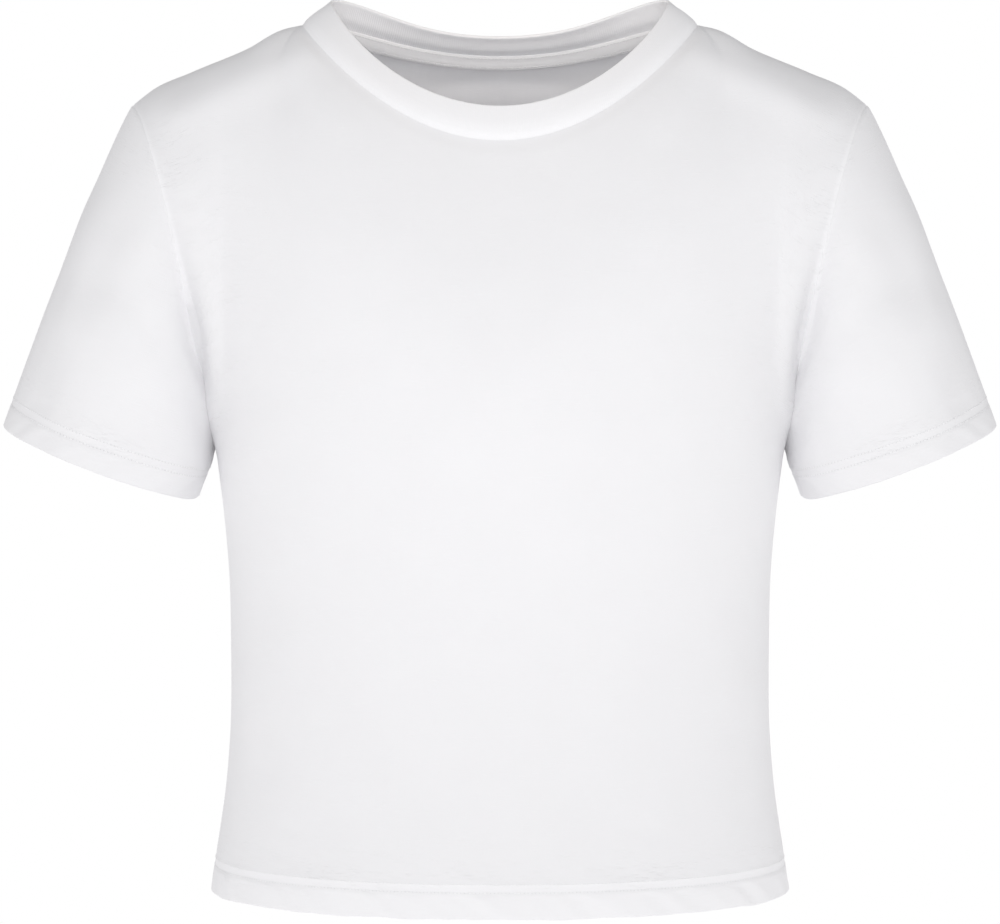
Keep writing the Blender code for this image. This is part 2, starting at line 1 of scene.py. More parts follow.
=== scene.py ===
"""Crop top of light cotton jersey, dressed for a plain studio picture.

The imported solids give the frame. Each of them is stood for here by a thin shell of cloth on the
same form: two body panels, two set-in sleeves, a folded rib neckband and the tape over the back
neck seam, with turned hems, sewn seams, overlocked edges and every stitch that shows.

Metres, +Z up, the front faces -Y. The origin lies midway between the two neck ends of the
shoulder seams.
"""

import sys

import logging
from collections.abc import Sequence
from dataclasses import dataclass, field
from enum import Enum

import bmesh
import bpy
import numpy as np
from bpy.types import ID, Light, Material, Node, NodeSocket, NodeTree, Object
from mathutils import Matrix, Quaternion, Vector


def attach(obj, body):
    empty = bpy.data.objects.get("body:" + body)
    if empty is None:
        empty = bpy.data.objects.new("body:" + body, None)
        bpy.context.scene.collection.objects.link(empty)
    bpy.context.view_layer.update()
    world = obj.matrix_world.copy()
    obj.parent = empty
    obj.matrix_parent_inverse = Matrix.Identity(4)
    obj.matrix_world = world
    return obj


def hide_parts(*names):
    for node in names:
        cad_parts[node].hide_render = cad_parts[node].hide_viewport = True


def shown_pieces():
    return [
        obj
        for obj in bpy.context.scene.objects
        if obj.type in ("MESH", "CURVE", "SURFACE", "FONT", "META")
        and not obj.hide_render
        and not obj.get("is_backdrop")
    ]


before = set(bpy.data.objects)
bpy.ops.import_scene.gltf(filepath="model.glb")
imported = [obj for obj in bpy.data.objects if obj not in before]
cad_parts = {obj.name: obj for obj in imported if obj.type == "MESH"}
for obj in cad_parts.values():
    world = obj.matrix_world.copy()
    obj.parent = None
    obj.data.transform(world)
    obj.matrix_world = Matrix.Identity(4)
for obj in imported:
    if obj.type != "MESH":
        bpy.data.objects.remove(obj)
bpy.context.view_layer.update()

logging.basicConfig(level=logging.INFO, format="%(message)s", stream=sys.stdout)
log = logging.getLogger("crop_top")

Points = np.ndarray
PointsPair = tuple[Points, Points]
Pair = tuple[float, float]
Triple = tuple[float, float, float]
UP = np.array([0.0, 0.0, 1.0])
MIRROR = np.array([-1.0, 1.0, 1.0])
BODY = "root"

# Cloth and its seams; the tables give a height on the body and how deep or high the relief is there
JERSEY_THICK = 0.0008
HEM_THICK = 0.0017
SEAM_GAP = 0.00001
SEAM_DIP = 0.0004
NECK_DIP = 0.00015
DIP_WIDE = 0.0009
ARMHOLE_DIPS = (
    (-0.480, 0.0001), (-0.260, 0.0002), (-0.225, 0.0003), (-0.185, 0.0001), (-0.150, 0.0),
    (-0.070, 0.0), (-0.055, 0.0004), (-0.040, 0.0004),
)
ARMHOLE_VALLEY = (
    (-0.229, 0.0), (-0.215, 0.0006), (-0.197, 0.0028), (-0.178, 0.0036), (-0.157, 0.0034), (-0.140, 0.0022),
    (-0.120, 0.0010), (-0.095, 0.0003), (-0.070, 0.0),
)
VALLEY_WIDE = 0.0085
ARMHOLE_FILL = (
    (-0.238, 0.0), (-0.230, 0.0012), (-0.220, 0.0034), (-0.207, 0.0046), (-0.190, 0.0026), (-0.168, 0.0),
)
FILL_WIDE = 0.015
ARMHOLE_RIDGE = ((-0.155, 0.0), (-0.135, 0.0003), (-0.070, 0.0004), (-0.050, 0.0))
PANEL_RIDGE_WIDE = 0.0022
SLEEVE_RIDGE_WIDE = 0.0009

# Where the allowance turned under a panel shows: off the seam, how wide, from and to which height,
# and how much whiter it is, partly for its two layers and partly as a painted highlight on the ridge;
# and the same for the layers at the top seams
RIDGE_OFF = 0.0006
RIDGE_SHOWS_WIDE = 0.7 * PANEL_RIDGE_WIDE
RIDGE_SHOWS = (-0.158, -0.045)
RIDGE_FADE = 0.02
RIDGE_WHITE_AND_HIGHLIGHT = 1.2
TOP_WHITE = 0.5
TOP_WHITE_WIDE = 0.002

# How far from the armholes and from the top seams creases begin
CREASES_FROM_ARMHOLE = 0.012
CREASES_FROM_TOP = 0.010

# How finely cloth is divided: usual and close spacing, and how far the close one is kept
USUAL = 0.0025
CLOSE = 0.0005
CLOSE_RUN = 0.0035
HEM_STEP = 0.0008
HEM_RUN = 0.021
FOLD_STEPS = 6
SHARP_ANGLE = 50.0

# Steps of the formulas
RING_POINTS = 721
FINE_COLUMNS = 600
TABLE_STEP = 0.004
SHARE_STEP = 0.01
SEAM_STEP = 0.001
MITRE_LIMIT = 0.6
TINY = 1e-12
MILLIMETRE = 0.001

# Looks: how much of the knit's height is its loops, the roundness of a rib, between which values of
# noise slubs and their patches begin, how much patches and fuzz count, the size of clouds in the
# white, how much lighter or darker things are than the plain cloth, and a needle hole's radii.
# The lighter mark is two layers of cloth together with painted light; the darker needle holes are painted
# shade.
LOOP_SHARE = 0.2
RIB_POWER = 0.6
SLUB_FROM = (0.52, 0.74)
SLUB_FUZZ = 0.4
PATCH_SCALE = 0.13
PATCH_FROM = (0.4, 0.62)
PATCH_SHARE = 0.7
CLOUD_SCALE = 28.0
SLUB_TINT = 0.02
DOUBLE_AND_PAINTED_LIGHT_TINT = 0.045
HOLE_PAINTED_SHADE = -0.12
HOLE_RIM = 0.0005
HOLE_CORE = 0.0001

# What the cloth's points are marked with: pulled by sewing, two layers thick together with painted light,
# height above the fold
MARKS = ("pull", "double", "height")

# The inside of the seams: how many rows or columns beside a seam an allowance is laid on, those
# rows from a top seam down, and how far above the fold the side allowances start
LANES_DEEP = 20
FROM_TOP = slice(None, -1 - LANES_DEEP, -1)
SIDE_ALLOWANCE_FROM = 0.021


class Side(Enum):
    """The wearer's left (+X) and right (-X)."""

    LEFT = 1.0
    RIGHT = -1.0

    @property
    def word(self) -> str:
        """The side's name in a piece's name."""
        return self.name.lower()

    @property
    def mirror(self) -> Points:
        """Factors for x, y and z that bring a left piece's points to this side."""
        return np.array([self.value, 1.0, 1.0])


@dataclass(frozen=True)
class Level:
    """The body's section at one height: half its width, and how far front and back reach."""

    z: float
    half_width: float
    front: float
    back: float


@dataclass(frozen=True)
class SeamPoint:
    """One point of the shoulder seam."""

    x: float
    z: float


@dataclass(frozen=True)
class SleeveLine:
    """How the sleeve leaves the armhole there: its heading and its reaches.

    around goes from the underarm (0) to the shoulder tip (1). front and back say how far forwards
    each side heads.
    """

    around: float
    out: float
    front: float
    back: float
    up: float
    reach: float
    cuff_reach: float


@dataclass(frozen=True)
class Crease:
    """A soft trough, or a ridge where its depth is negative, seen from the front or the back.

    It runs from start to end, both (x, z) on the wearer's left, with its middle bowed sideways,
    and fades out over a share of its length at each end. sides names where it lies.
    """

    start: Pair
    end: Pair
    depth: float
    spread: float
    bow: float = 0.0
    fade: float = 0.35
    sides: tuple[Side, ...] = (Side.LEFT, Side.RIGHT)


@dataclass(frozen=True)
class Wave:
    """One of the waves of a pulled hem: how many go round, slant, height and phase."""

    count: int
    slant: float
    tall: float
    phase: float


def unit(vectors: Points) -> Points:
    """Scales vectors to length one."""
    vectors = np.asarray(vectors, dtype=float)
    return vectors / np.maximum(np.linalg.norm(vectors, axis=-1, keepdims=True), TINY)


def ease(value: Points) -> Points:
    """Goes smoothly from 0 to 1 as the value does."""
    value = np.clip(value, 0.0, 1.0)
    return value * value * (3.0 - 2.0 * value)


def soft_ease(value: Points) -> Points:
    """The same with a still softer start and end."""
    value = np.clip(value, 0.0, 1.0)
    return value**3 * (10.0 + value * (6.0 * value - 15.0))


def bell(value: Points, wide: float) -> Points:
    """1 where the value is 0, falling off to both sides over a width."""
    return np.exp(-((value / wide) ** 2))


def read_table(table: Sequence, key: str, column: str, value: Points) -> Points:
    """Reads a column of a table where its key column has a value, along a smooth curve.

    Args:
        table: rows in rising order of the key.
        key: name of the key column.
        column: name of the column to read.
        value: where to read it, a number or an array.

    Returns:
        The column's values there.
    """
    keys = np.array([getattr(row, key) for row in table])
    sizes = np.array([getattr(row, column) for row in table])
    slopes = np.gradient(sizes, keys)
    index = np.clip(np.searchsorted(keys, value) - 1, 0, len(keys) - 2)
    span = keys[index + 1] - keys[index]
    t = (value - keys[index]) / span
    start = (1.0 + 2.0 * t) * (1.0 - t) ** 2 * sizes[index] + t * (1.0 - t) ** 2 * span * slopes[index]
    end = t * t * (3.0 - 2.0 * t) * sizes[index + 1] + t * t * (t - 1.0) * span * slopes[index + 1]
    return start + end


def bezier(points: Sequence[Points], t: Points) -> Points:
    """A cubic through its first and last point, held by the two between."""
    a, b, c, d = points
    s = 1.0 - t
    return s**3 * a + 3.0 * s * s * t * b + 3.0 * s * t * t * c + t**3 * d


def lengths_along(points: Points) -> Points:
    """Length from the first point to each, along the first axis of an array of points."""
    steps = np.linalg.norm(np.diff(points, axis=0), axis=-1)
    return np.concatenate([np.zeros((1,) + steps.shape[1:]), np.cumsum(steps, axis=0)])


def read_line(wanted: Points, along: Points, line: Points) -> Points:
    """Points of a line at wanted places along it, straight between its own."""
    return np.stack([np.interp(wanted, along, line[:, axis]) for axis in range(3)], axis=1)


def graded(length: float, usual: float = USUAL, close: float = CLOSE, run: float = CLOSE_RUN) -> Points:
    """Places along a length, closing up towards its end.

    Args:
        length: the length to divide.
        usual: spacing far from the end.
        close: spacing at the end.
        run: how far from the end the close spacing is kept, and again how far it widens over.

    Returns:
        The places as shares of the length, from 0 to 1.
    """
    places = [length]
    while places[-1] > 0.0:
        away = length - places[-1]
        places.append(places[-1] - close - (usual - close) * ease((away - run) / run))
    places = np.array(places[::-1])
    return (places - places[0]) / (places[-1] - places[0])


def distance_to(points: Points, line: Points) -> Points:
    """How far each point of a grid is from a line of points."""
    nearest = np.full(points.shape[:-1], np.inf)
    for start, end in zip(line[:-1], line[1:]):
        run = end - start
        along = np.clip((points - start) @ run / (run @ run), 0.0, 1.0)
        away = np.linalg.norm(points - start - along[..., None] * run, axis=-1)
        nearest = np.minimum(nearest, away)
    return nearest


def grid_normals(points: Points, sense: float, wrap: bool) -> Points:
    """Unit normals of a grid; sense is 1 where columns by rows points outwards."""
    if wrap:
        across = np.roll(points, -1, axis=1) - np.roll(points, 1, axis=1)
    else:
        across = np.gradient(points, axis=1)
    along = np.gradient(points, axis=0)
    return unit(sense * np.cross(across, along))


def armhole_relief(z: Points, away: Points, ridge_wide: float) -> Points:
    """How far cloth beside the armhole or side seam stands out.

    Args:
        z: height of each point along the seam.
        away: how far it is from the seam.
        ridge_wide: how far the ridge of the turned seam allowance reaches on that side.

    Returns:
        Heights along the outward normals: a rounded hollow below, a valley at mid height, and a
        low ridge with a narrow dip above.
    """
    dip, valley, fill, ridge = (
        np.interp(z, *zip(*table)) for table in (ARMHOLE_DIPS, ARMHOLE_VALLEY, ARMHOLE_FILL, ARMHOLE_RIDGE)
    )
    smooth = fill * bell(away, FILL_WIDE) - valley * bell(away, VALLEY_WIDE)
    return smooth + ridge * bell(away, ridge_wide) - dip * bell(away, DIP_WIDE)


def crease_relief(creases: Sequence[Crease], points: Points, side: Side | None = None) -> Points:
    """How far creases raise each point of a grid, in metres.

    Args:
        creases: the creases of that side of the garment.
        points: the grid, in place.
        side: the side that the whole grid belongs to, or None where x tells it.

    Returns:
        Heights along the outward normals, negative in troughs.
    """
    relief = np.zeros(points.shape[:-1])
    flat = np.stack([np.abs(points[..., 0]), points[..., 2]], axis=-1)
    for crease in creases:
        start, run = np.array(crease.start), np.array(crease.end) - np.array(crease.start)
        along = np.clip((flat - start) @ run / (run @ run), 0.0, 1.0)
        across = np.array([-run[1], run[0]]) / np.linalg.norm(run)
        spine = start + along[..., None] * run
        spine = spine + (crease.bow * np.sin(np.pi * along))[..., None] * across
        away = np.linalg.norm(flat - spine, axis=-1)
        ends = ease(np.minimum(along, 1.0 - along) / crease.fade)
        held = [wanted.value for wanted in crease.sides]
        here = np.isin(np.sign(points[..., 0]) if side is None else side.value, held)
        relief -= crease.depth * bell(away, crease.spread) * ends * here
    return relief


@dataclass(frozen=True)
class TurnedHem:
    """A hem turned up once, held by two needle rows over its raw edge.

    tall is the raw edge's height above the fold, rows the heights of the needle rows, and holes how
    much their needle holes show. lift is how far the whole hem stands off the piece, swell how far
    the turned cloth puffs out below the rows, at swell_at of the lower row's height, and ridge how
    far it does above them. The lower row pulls it in by groove, from groove_above over it to
    groove_below under it. Waves of pulled cloth fade out at the rows, over wave_below and
    wave_above; fold_share of them is left at the fold, and drag_share above the rows, dying off
    over drag. The fold's line wavers with them. Sewing pulls the cloth most at pull_at, and two
    layers show up to show_above over the raw edge.
    """

    tall: float
    rows: Pair
    waves: tuple[Wave, ...]
    holes: Pair
    lift: float = 0.0002
    swell: float = 0.0003
    swell_at: float = 0.55
    swell_wide: float = 0.4
    ridge: float = 0.0002
    ridge_wide: float = 0.0012
    groove: float = 0.0008
    groove_above: float = 0.0046
    groove_below: float = 0.0011
    edge_step: float = 0.0012
    wave_below: float = 0.004
    wave_above: float = 0.002
    fold_share: float = 0.55
    fold_run: float = 0.003
    drag_share: float = 0.35
    drag: float = 0.009
    waver_share: float = 0.5
    waver_run: float = 0.008
    pull_at: float = 0.022
    pull_wide: float = 0.012
    show_above: float = 0.0016
    show_step: float = 0.0008

    def thickness(self, height: Points) -> Points:
        """Thickness of the cloth at heights above the fold."""
        turned = 1.0 - ease((height - self.tall) / self.edge_step)
        return JERSEY_THICK + (HEM_THICK - JERSEY_THICK) * turned

    def pull(self, height: Points) -> Points:
        """How much sewing pulls the cloth at heights above the fold."""
        return bell(height - self.pull_at, self.pull_wide)

    def doubled(self, height: Points) -> Points:
        """1 where two layers of cloth show, falling to 0 above the raw edge."""
        return 1.0 - ease((height - self.tall - self.show_above) / self.show_step)

    def relief(self, height: Points, around: Points, total: float) -> Points:
        """How far the hem's cloth stands out.

        Args:
            height: height of each row above the fold.
            around: place of each point along the hem, from 0 to 1.
            total: length of the hem in metres.

        Returns:
            Heights along the outward normals, rows by columns.
        """
        height = height[:, None]
        low, high = self.rows
        raised = self.lift * (1.0 - ease((height - low) / (high - low)))
        raised = raised + self.swell * bell(height - self.swell_at * low, self.swell_wide * low)
        raised = raised + self.ridge * bell(height - high, self.ridge_wide)
        over, under = (height - low) / self.groove_above, (low - height) / self.groove_below
        raised = raised - self.groove * (1.0 - ease(np.where(height > low, over, under)))
        from_fold = self.fold_share + (1.0 - self.fold_share) * ease(height / self.fold_run)
        below = ease((low - height) / self.wave_below) * from_fold
        above = ease((height - high) / self.wave_above) * bell(height - high, self.drag)
        rope = np.zeros(np.broadcast_shapes(height.shape, around.shape))
        for wave in self.waves:
            turn = around + wave.slant * (height - low) / total
            rope = rope + wave.tall * np.sin(2.0 * np.pi * wave.count * turn + wave.phase)
        return raised + rope * (below + self.drag_share * above)

    def edge_drop(self, height: Points, around: Points) -> Points:
        """How far the fold's line wavers up and down."""
        waver = np.zeros_like(around)
        for wave in self.waves:
            turn = np.pi * wave.count * around + 2.0 * wave.phase
            waver = waver + self.waver_share * wave.tall * np.sin(turn)
        return waver * (1.0 - ease(height[:, None] / self.waver_run))


BODY_HEM = TurnedHem(
    tall=0.0168,
    rows=(0.0142, 0.0186),
    holes=(0.8, 0.25),
    waves=(
        Wave(13, 1.0, 0.00032, 0.4), Wave(21, 1.1, 0.00028, 2.1),
        Wave(29, 0.8, 0.00016, 4.0), Wave(7, 1.3, 0.00024, 5.2),
    ),
)
CUFF_HEM = TurnedHem(
    tall=0.0160,
    rows=(0.0132, 0.0176),
    holes=(1.3, 1.1),
    groove=0.0005,
    pull_at=0.021,
    waves=(
        Wave(11, 1.0, 0.00022, 1.3), Wave(17, 0.8, 0.00020, 0.2),
        Wave(24, 1.2, 0.00012, 3.3), Wave(6, 0.9, 0.00018, 4.4),
    ),
)


@dataclass
class Shell:
    """A closed shell of cloth between an outer and an inner surface.

    skin holds the outer points, rows from the turned edge up to the seam; relief says how far
    each is raised, depth how thick the cloth is there, and grain where it lies on the flat cloth.
    """

    skin: Points
    sense: float
    wrap: bool
    relief: Points
    depth: Points
    marks: dict[str, Points] = field(init=False)
    normals: Points = field(init=False)
    seams: list[tuple] = field(init=False, default_factory=list)
    shift: Points = field(init=False)

    def __post_init__(self) -> None:
        """Works out the plain normals and leaves the seams unmatched."""
        self.normals = grid_normals(self.skin, self.sense, self.wrap)
        self.depth = np.broadcast_to(self.depth, self.skin.shape[:2]).copy()
        self.shift = np.zeros(self.skin.shape)
        self.marks = {name: np.zeros(self.skin.shape[:2]) for name in MARKS}

    def mark(self, **values: Points) -> None:
        """Notes where the cloth is pulled, doubled or hemmed, and where it has painted light, for its finish
        to read.
        """
        for name, value in values.items():
            self.marks[name] = np.broadcast_to(value, self.skin.shape[:2])

    def meet(self, where: tuple, mean: Points, inward: Points) -> None:
        """Gives an edge its seam's mean normals and draws it back by half the seam gap."""
        self.seams.append((where, mean))
        self.normals[where] = mean
        self.shift[where] += inward * SEAM_GAP / 2.0

    def settle(self) -> None:
        """Raises the relief and works out the normals of the raised cloth."""
        self.skin = self.skin + self.normals * self.relief[..., None]
        self.normals = grid_normals(self.skin, self.sense, self.wrap)
        for where, mean in self.seams:
            own = np.sum(self.normals[where] * mean, axis=-1)
            self.depth[where] /= np.clip(own, MITRE_LIMIT, 1.0)
            self.normals[where] = mean

    def outer(self) -> Points:
        """Outer points, drawn back from the seams."""
        return self.skin + self.shift

    def inner(self) -> Points:
        """Inner points, one thickness further in."""
        return self.outer() - self.normals * self.depth[..., None]

    def lanes(self, rows: slice, columns: Points | slice) -> PointsPair:
        """Inner points and normals of some rows and columns, column by row."""
        return tuple(grid[rows][:, columns].transpose(1, 0, 2) for grid in (self.inner(), self.normals))

    def line_at(self, heights: Points, wanted: float, within: float | None = None) -> PointsPair:
        """Points and normals along the piece at one height above the fold.

        Args:
            heights: height of each row above the fold.
            wanted: the height to read at.
            within: None for the outer side, and for the inner side how far off the cloth to stay.

        Returns:
            One point and one normal for each column, with the normals pointing off the cloth.
        """
        rows = np.searchsorted(heights, wanted) - 1
        share = (wanted - heights[rows]) / (heights[rows + 1] - heights[rows])
        normals = unit(self.normals[rows] * (1.0 - share) + self.normals[rows + 1] * share)
        skin = self.outer() if within is None else self.inner()
        points = skin[rows] * (1.0 - share) + skin[rows + 1] * share
        return (points, normals) if within is None else (points - normals * within, -normals)

    def grain(self) -> Points:
        """Place of each outer point on the flat cloth, in metres; a wrapped grid gets one column more."""
        points = np.concatenate([self.skin, self.skin[:, :1]], axis=1) if self.wrap else self.skin
        across = lengths_along(points.transpose(1, 0, 2)).T
        if not self.wrap:
            across = across - across[:, across.shape[1] // 2][:, None]
        return np.stack([across, lengths_along(points)], axis=-1)

    def fold(self) -> Points:
        """Points round the folded edge, from the outer to the inner surface."""
        half = self.depth[0] / 2.0
        down = unit(self.outer()[0] - self.outer()[1])
        down = unit(down - self.normals[0] * np.sum(down * self.normals[0], axis=-1, keepdims=True))
        middle = self.outer()[0] - self.normals[0] * half[:, None]
        turns = np.linspace(0.0, np.pi, FOLD_STEPS + 1)[1:-1, None, None]
        return middle + half[:, None] * (self.normals[0] * np.cos(turns) + down * np.sin(turns))

    def object(self, name: str, mirror: Points | float = 1.0) -> Object:
        """Builds the mesh and its object.

        Args:
            name: the piece's name.
            mirror: factors for x, y and z, to make the other side's piece.

        Returns:
            The new object, with the UV map "grain" and its marks as attributes.
        """
        fold = self.fold()
        loops = np.concatenate([self.outer()[::-1], fold, self.inner()]) * mirror
        grain = self.grain()
        edge = np.broadcast_to(grain[0], (len(fold),) + grain[0].shape)
        grain = np.concatenate([grain[::-1], edge, grain])
        marks = {
            key: np.concatenate([mark[::-1], np.broadcast_to(mark[0], fold.shape[:2]), mark])
            for key, mark in self.marks.items()
        }
        return loft(name, loops, grain, marks, self.wrap)


def add_object(name: str, data: ID) -> Object:
    """Puts a new object with this mesh, lamp or camera in the scene."""
    added = bpy.data.objects.new(name, data)
    bpy.context.scene.collection.objects.link(added)
    return added


def stand_for(piece: Object, node: str) -> None:
    """Lets a piece ride on the body in place of one of its solids."""
    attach(piece, BODY)
    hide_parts(node)


def loft(name: str, loops: Points, grain: Points, marks: dict[str, Points], wrap: bool) -> Object:
    """Makes a closed mesh of section loops that lie side by side.

    Args:
        name: the piece's name.
        loops: points, the place in the section by the number of the section.
        grain: place of each point on the flat cloth; one section more where it wraps.
        marks: values at each point, by the name of the attribute to keep them in.
        wrap: whether the last section meets the first one.

    Returns:
        The new object.
    """
    rows, columns = loops.shape[:2]
    spans = columns if wrap else columns - 1
    i, j = (index.ravel() for index in np.indices((rows, spans)))
    low, right = (i + 1) % rows, (j + 1) % columns
    corners = (i, j), (i, right), (low, right), (low, j)
    faces = np.stack([row * columns + column for row, column in corners], axis=1)
    places = np.stack([grain[i, j], grain[i, j + 1], grain[low, j + 1], grain[low, j]], axis=1)
    places = places.reshape(-1, 2)
    caps, cap_places = [], []
    for column in () if wrap else (0, columns - 1):
        pairs = [(k, k + 1, rows - 2 - k, rows - 1 - k) for k in range((rows - 1) // 2)]
        caps += [[row * columns + column for row in dict.fromkeys(pair)] for pair in pairs]
        cap_places += [grain[row, column] for pair in pairs for row in dict.fromkeys(pair)]
    data = bpy.data.meshes.new(name)
    data.from_pydata(loops.reshape(-1, 3).tolist(), [], faces.tolist() + caps)
    if cap_places:
        places = np.concatenate([places, cap_places])
    data.uv_layers.new(name="grain").uv.foreach_set("vector", places.astype(np.float32).ravel())
    for key, mark in marks.items():
        data.attributes.new(key, "FLOAT", "POINT").data.foreach_set("value", mark.astype(np.float32).ravel())
    mesh = bmesh.new()
    mesh.from_mesh(data)
    bmesh.ops.recalc_face_normals(mesh, faces=mesh.faces)
    mesh.to_mesh(data)
    mesh.free()
    data.shade_smooth()
    data.set_sharp_from_angle(angle=np.radians(SHARP_ANGLE))
    return add_object(name, data)


@dataclass(frozen=True)
class BodyForm:
    """What the two body panels share: the worn form from hem to shoulders, and how it is divided."""

    hem_z: float = -0.4785
    underarm_z: float = -0.229
    side_y: float = -0.010
    rounding: float = 2.1
    neck_share: float = 0.57
    half_round: float = 0.2175
    # z, half_width, front, back
    levels: tuple[Level, ...] = (
        Level(-0.4785, 0.1608, -0.117, 0.089),
        Level(-0.455, 0.1572, -0.115, 0.086),
        Level(-0.420, 0.1521, -0.113, 0.081),
        Level(-0.385, 0.1494, -0.113, 0.078),
        Level(-0.340, 0.1492, -0.115, 0.078),
        Level(-0.300, 0.1500, -0.119, 0.083),
        Level(-0.265, 0.1529, -0.123, 0.089),
        Level(-0.229, 0.1570, -0.125, 0.094),
    )
    shoulder_seam: tuple[SeamPoint, ...] = (
        SeamPoint(0.1090, 0.0000), SeamPoint(0.1190, -0.0022), SeamPoint(0.1380, -0.0125),
        SeamPoint(0.1700, -0.0258), SeamPoint(0.1920, -0.0355), SeamPoint(0.2030, -0.0440),
    )
    scoop_reach: float = 0.084
    scoop_rise: float = 42.0
    scoop_from: float = 0.66
    crown_reach: float = 0.072
    crown_inward: float = 0.22
    crown_drop: float = 0.12
    crown_from: float = 0.4
    shoulder_reach: float = 0.070
    corner_turn: float = 25.0
    corner_reach: float = 0.072
    corner_until: float = 0.7
    seam_step: float = 0.16
    soft_width: float = 0.055
    soft_edge: float = 0.34
    soft_from_top: float = 0.24
    soft_from_chest: float = 0.15

    def shares(self) -> Points:
        """Where the columns of half a panel stand, from the centre line to the side seam."""
        neck = np.linspace(0.0, self.neck_share, round(self.half_round * self.neck_share / USUAL) + 1)
        beyond = graded(self.half_round * (1.0 - self.neck_share))[1:]
        return np.concatenate([neck, self.neck_share + (1.0 - self.neck_share) * beyond])

    def neck_columns(self) -> int:
        """How many spans half a panel's neck seam has."""
        return round(self.half_round * self.neck_share / USUAL)

    def shoulder(self, share: Points) -> Points:
        """The shoulder seam, from the neck (share 0) to the sleeve (share 1)."""
        ends = self.shoulder_seam[0].x, self.shoulder_seam[-1].x
        x = ends[0] + (ends[1] - ends[0]) * share
        return np.stack([x, np.zeros_like(x), read_table(self.shoulder_seam, "x", "z", x)], axis=-1)


@dataclass
class BodyPanel:
    """A body panel: its cut above the chest, its creases and its turned hem.

    facing is -1 in front and 1 behind. Leans are degrees from the vertical, at the centre line and
    at the shoulder seam; neck sizes are the half ellipse of the neckline and the reaches of the
    columns that come down from it and up from the chest. neck_swell is how far the cloth below the
    neck seam puffs out. Beside the side seam hem_kept of the hem's relief is left, and none at the
    seam itself. The armhole seams pull the cloth beside them, from the height pull_from up.
    """

    name: str
    facing: float
    neck_deep: float
    neck_drop: float
    neck_curve: float
    neck_fan: float
    lean_centre: float
    lean_side: float
    neck_reach: float
    chest_reach: float
    creases: tuple[Crease, ...]
    flat: Pair
    flat_area: float
    form: BodyForm
    neck_swell: float = 0.0
    swell_rise: float = 0.010
    swell_run: float = 0.060
    swell_fade: float = 0.06
    hem_kept: float = 0.25
    hem_fade: float = 0.04
    hem_clear: float = 0.003
    waver_clear: float = 0.02
    pull_wide: float = 0.035
    pull_from: float = -0.26
    pull_rise: float = 0.05
    shell: Shell = field(init=False)
    chest_row: int = field(init=False)
    heights: Points = field(init=False)
    piece: Object = field(init=False)

    def ring(self, z: float, shares: Points) -> Points:
        """Half of the panel's section at a height, from the centre line to the side seam."""
        form = self.form
        half_width = read_table(form.levels, "z", "half_width", z)
        deep = abs(read_table(form.levels, "z", self.name, z) - form.side_y)
        angles = np.linspace(0.0, np.pi / 2.0, RING_POINTS)
        radius = (np.sin(angles) / half_width) ** form.rounding + (np.cos(angles) / deep) ** form.rounding
        radius = radius ** (-1.0 / form.rounding)
        across, depth = radius * np.sin(angles), form.side_y + self.facing * radius * np.cos(angles)
        line = np.stack([across, depth, np.full(RING_POINTS, z)], axis=1)
        lengths = lengths_along(line)
        return read_line(shares * lengths[-1], lengths, line)

    def neck(self, turn: Points) -> Points:
        """The neck seam, from the centre line (turn 0) to the shoulder seam (turn 90 degrees)."""
        cosine = np.cos(turn)
        return np.stack(
            [
                self.form.shoulder_seam[0].x * np.sin(turn),
                self.facing * self.neck_deep * cosine,
                -self.neck_drop * np.abs(cosine) ** self.neck_curve,
            ],
            axis=-1,
        )

    def outward(self, turn: Points) -> Points:
        """Level direction square to the neck seam, away from the neck."""
        across = np.sin(turn) / self.form.shoulder_seam[0].x
        return unit(np.stack([across, self.facing * np.cos(turn) / self.neck_deep, 0.0 * turn], axis=-1))

    def below_neck(self, turn: Points) -> tuple[Points, Points, Points]:
        """Points of the neck seam, and the directions and reaches of the cloth coming down there."""
        form = self.form
        blend = np.sin(turn) ** 2
        lean = np.radians(self.lean_centre + (self.lean_side - self.lean_centre) * blend)[:, None]
        down = self.outward(turn) * np.sin(lean) - UP * np.cos(lean)
        normal = np.cross(self.neck(turn + SEAM_STEP) - self.neck(turn - SEAM_STEP), down)
        heading = np.radians(self.neck_fan * np.sin(2.0 * turn) + form.corner_turn * blend)
        level = np.stack([np.sin(heading), self.facing * np.cos(heading), 0.0 * turn], axis=-1)
        level[:, 2] = -(normal[:, 0] * level[:, 0] + normal[:, 1] * level[:, 1]) / normal[:, 2]
        reach = self.neck_reach + (form.corner_reach - self.neck_reach) * ease(turn / (np.pi / 2.0))
        return self.neck(turn), unit(level), reach

    def below_shoulder(self, along: Points) -> tuple[Points, Points, Points]:
        """The same for the shoulder seam, from the neck (along 0) to the sleeve (along 1)."""
        form = self.form
        ahead, behind = np.minimum(along + form.seam_step, 1.0), np.maximum(along - form.seam_step, 0.0)
        seam = form.shoulder(ahead) - form.shoulder(behind)
        corner = 1.0 - soft_ease(along / form.corner_until)
        crown = soft_ease((along - form.crown_from) / (1.0 - form.crown_from))
        heading = np.radians(form.corner_turn) * corner[:, None]
        down = unit(seam) * np.sin(heading) + np.array([0.0, self.facing, 0.0]) * np.cos(heading)
        down = down - crown[:, None] * np.array([form.crown_inward, 0.0, form.crown_drop])
        reach = form.shoulder_reach + corner * (form.corner_reach - form.shoulder_reach)
        reach = reach + crown * (form.crown_reach - form.shoulder_reach)
        return form.shoulder(along), unit(down), reach

    def tops(self, shares: Points) -> list[Points]:
        """End points of columns, and the directions and reaches with which they come down."""
        split = self.form.neck_share
        neck = self.below_neck(np.pi / 2.0 * shares[shares <= split] / split)
        shoulder = self.below_shoulder((shares[shares > split] - split) / (1.0 - split))
        return [np.concatenate(pair) for pair in zip(neck, shoulder)]

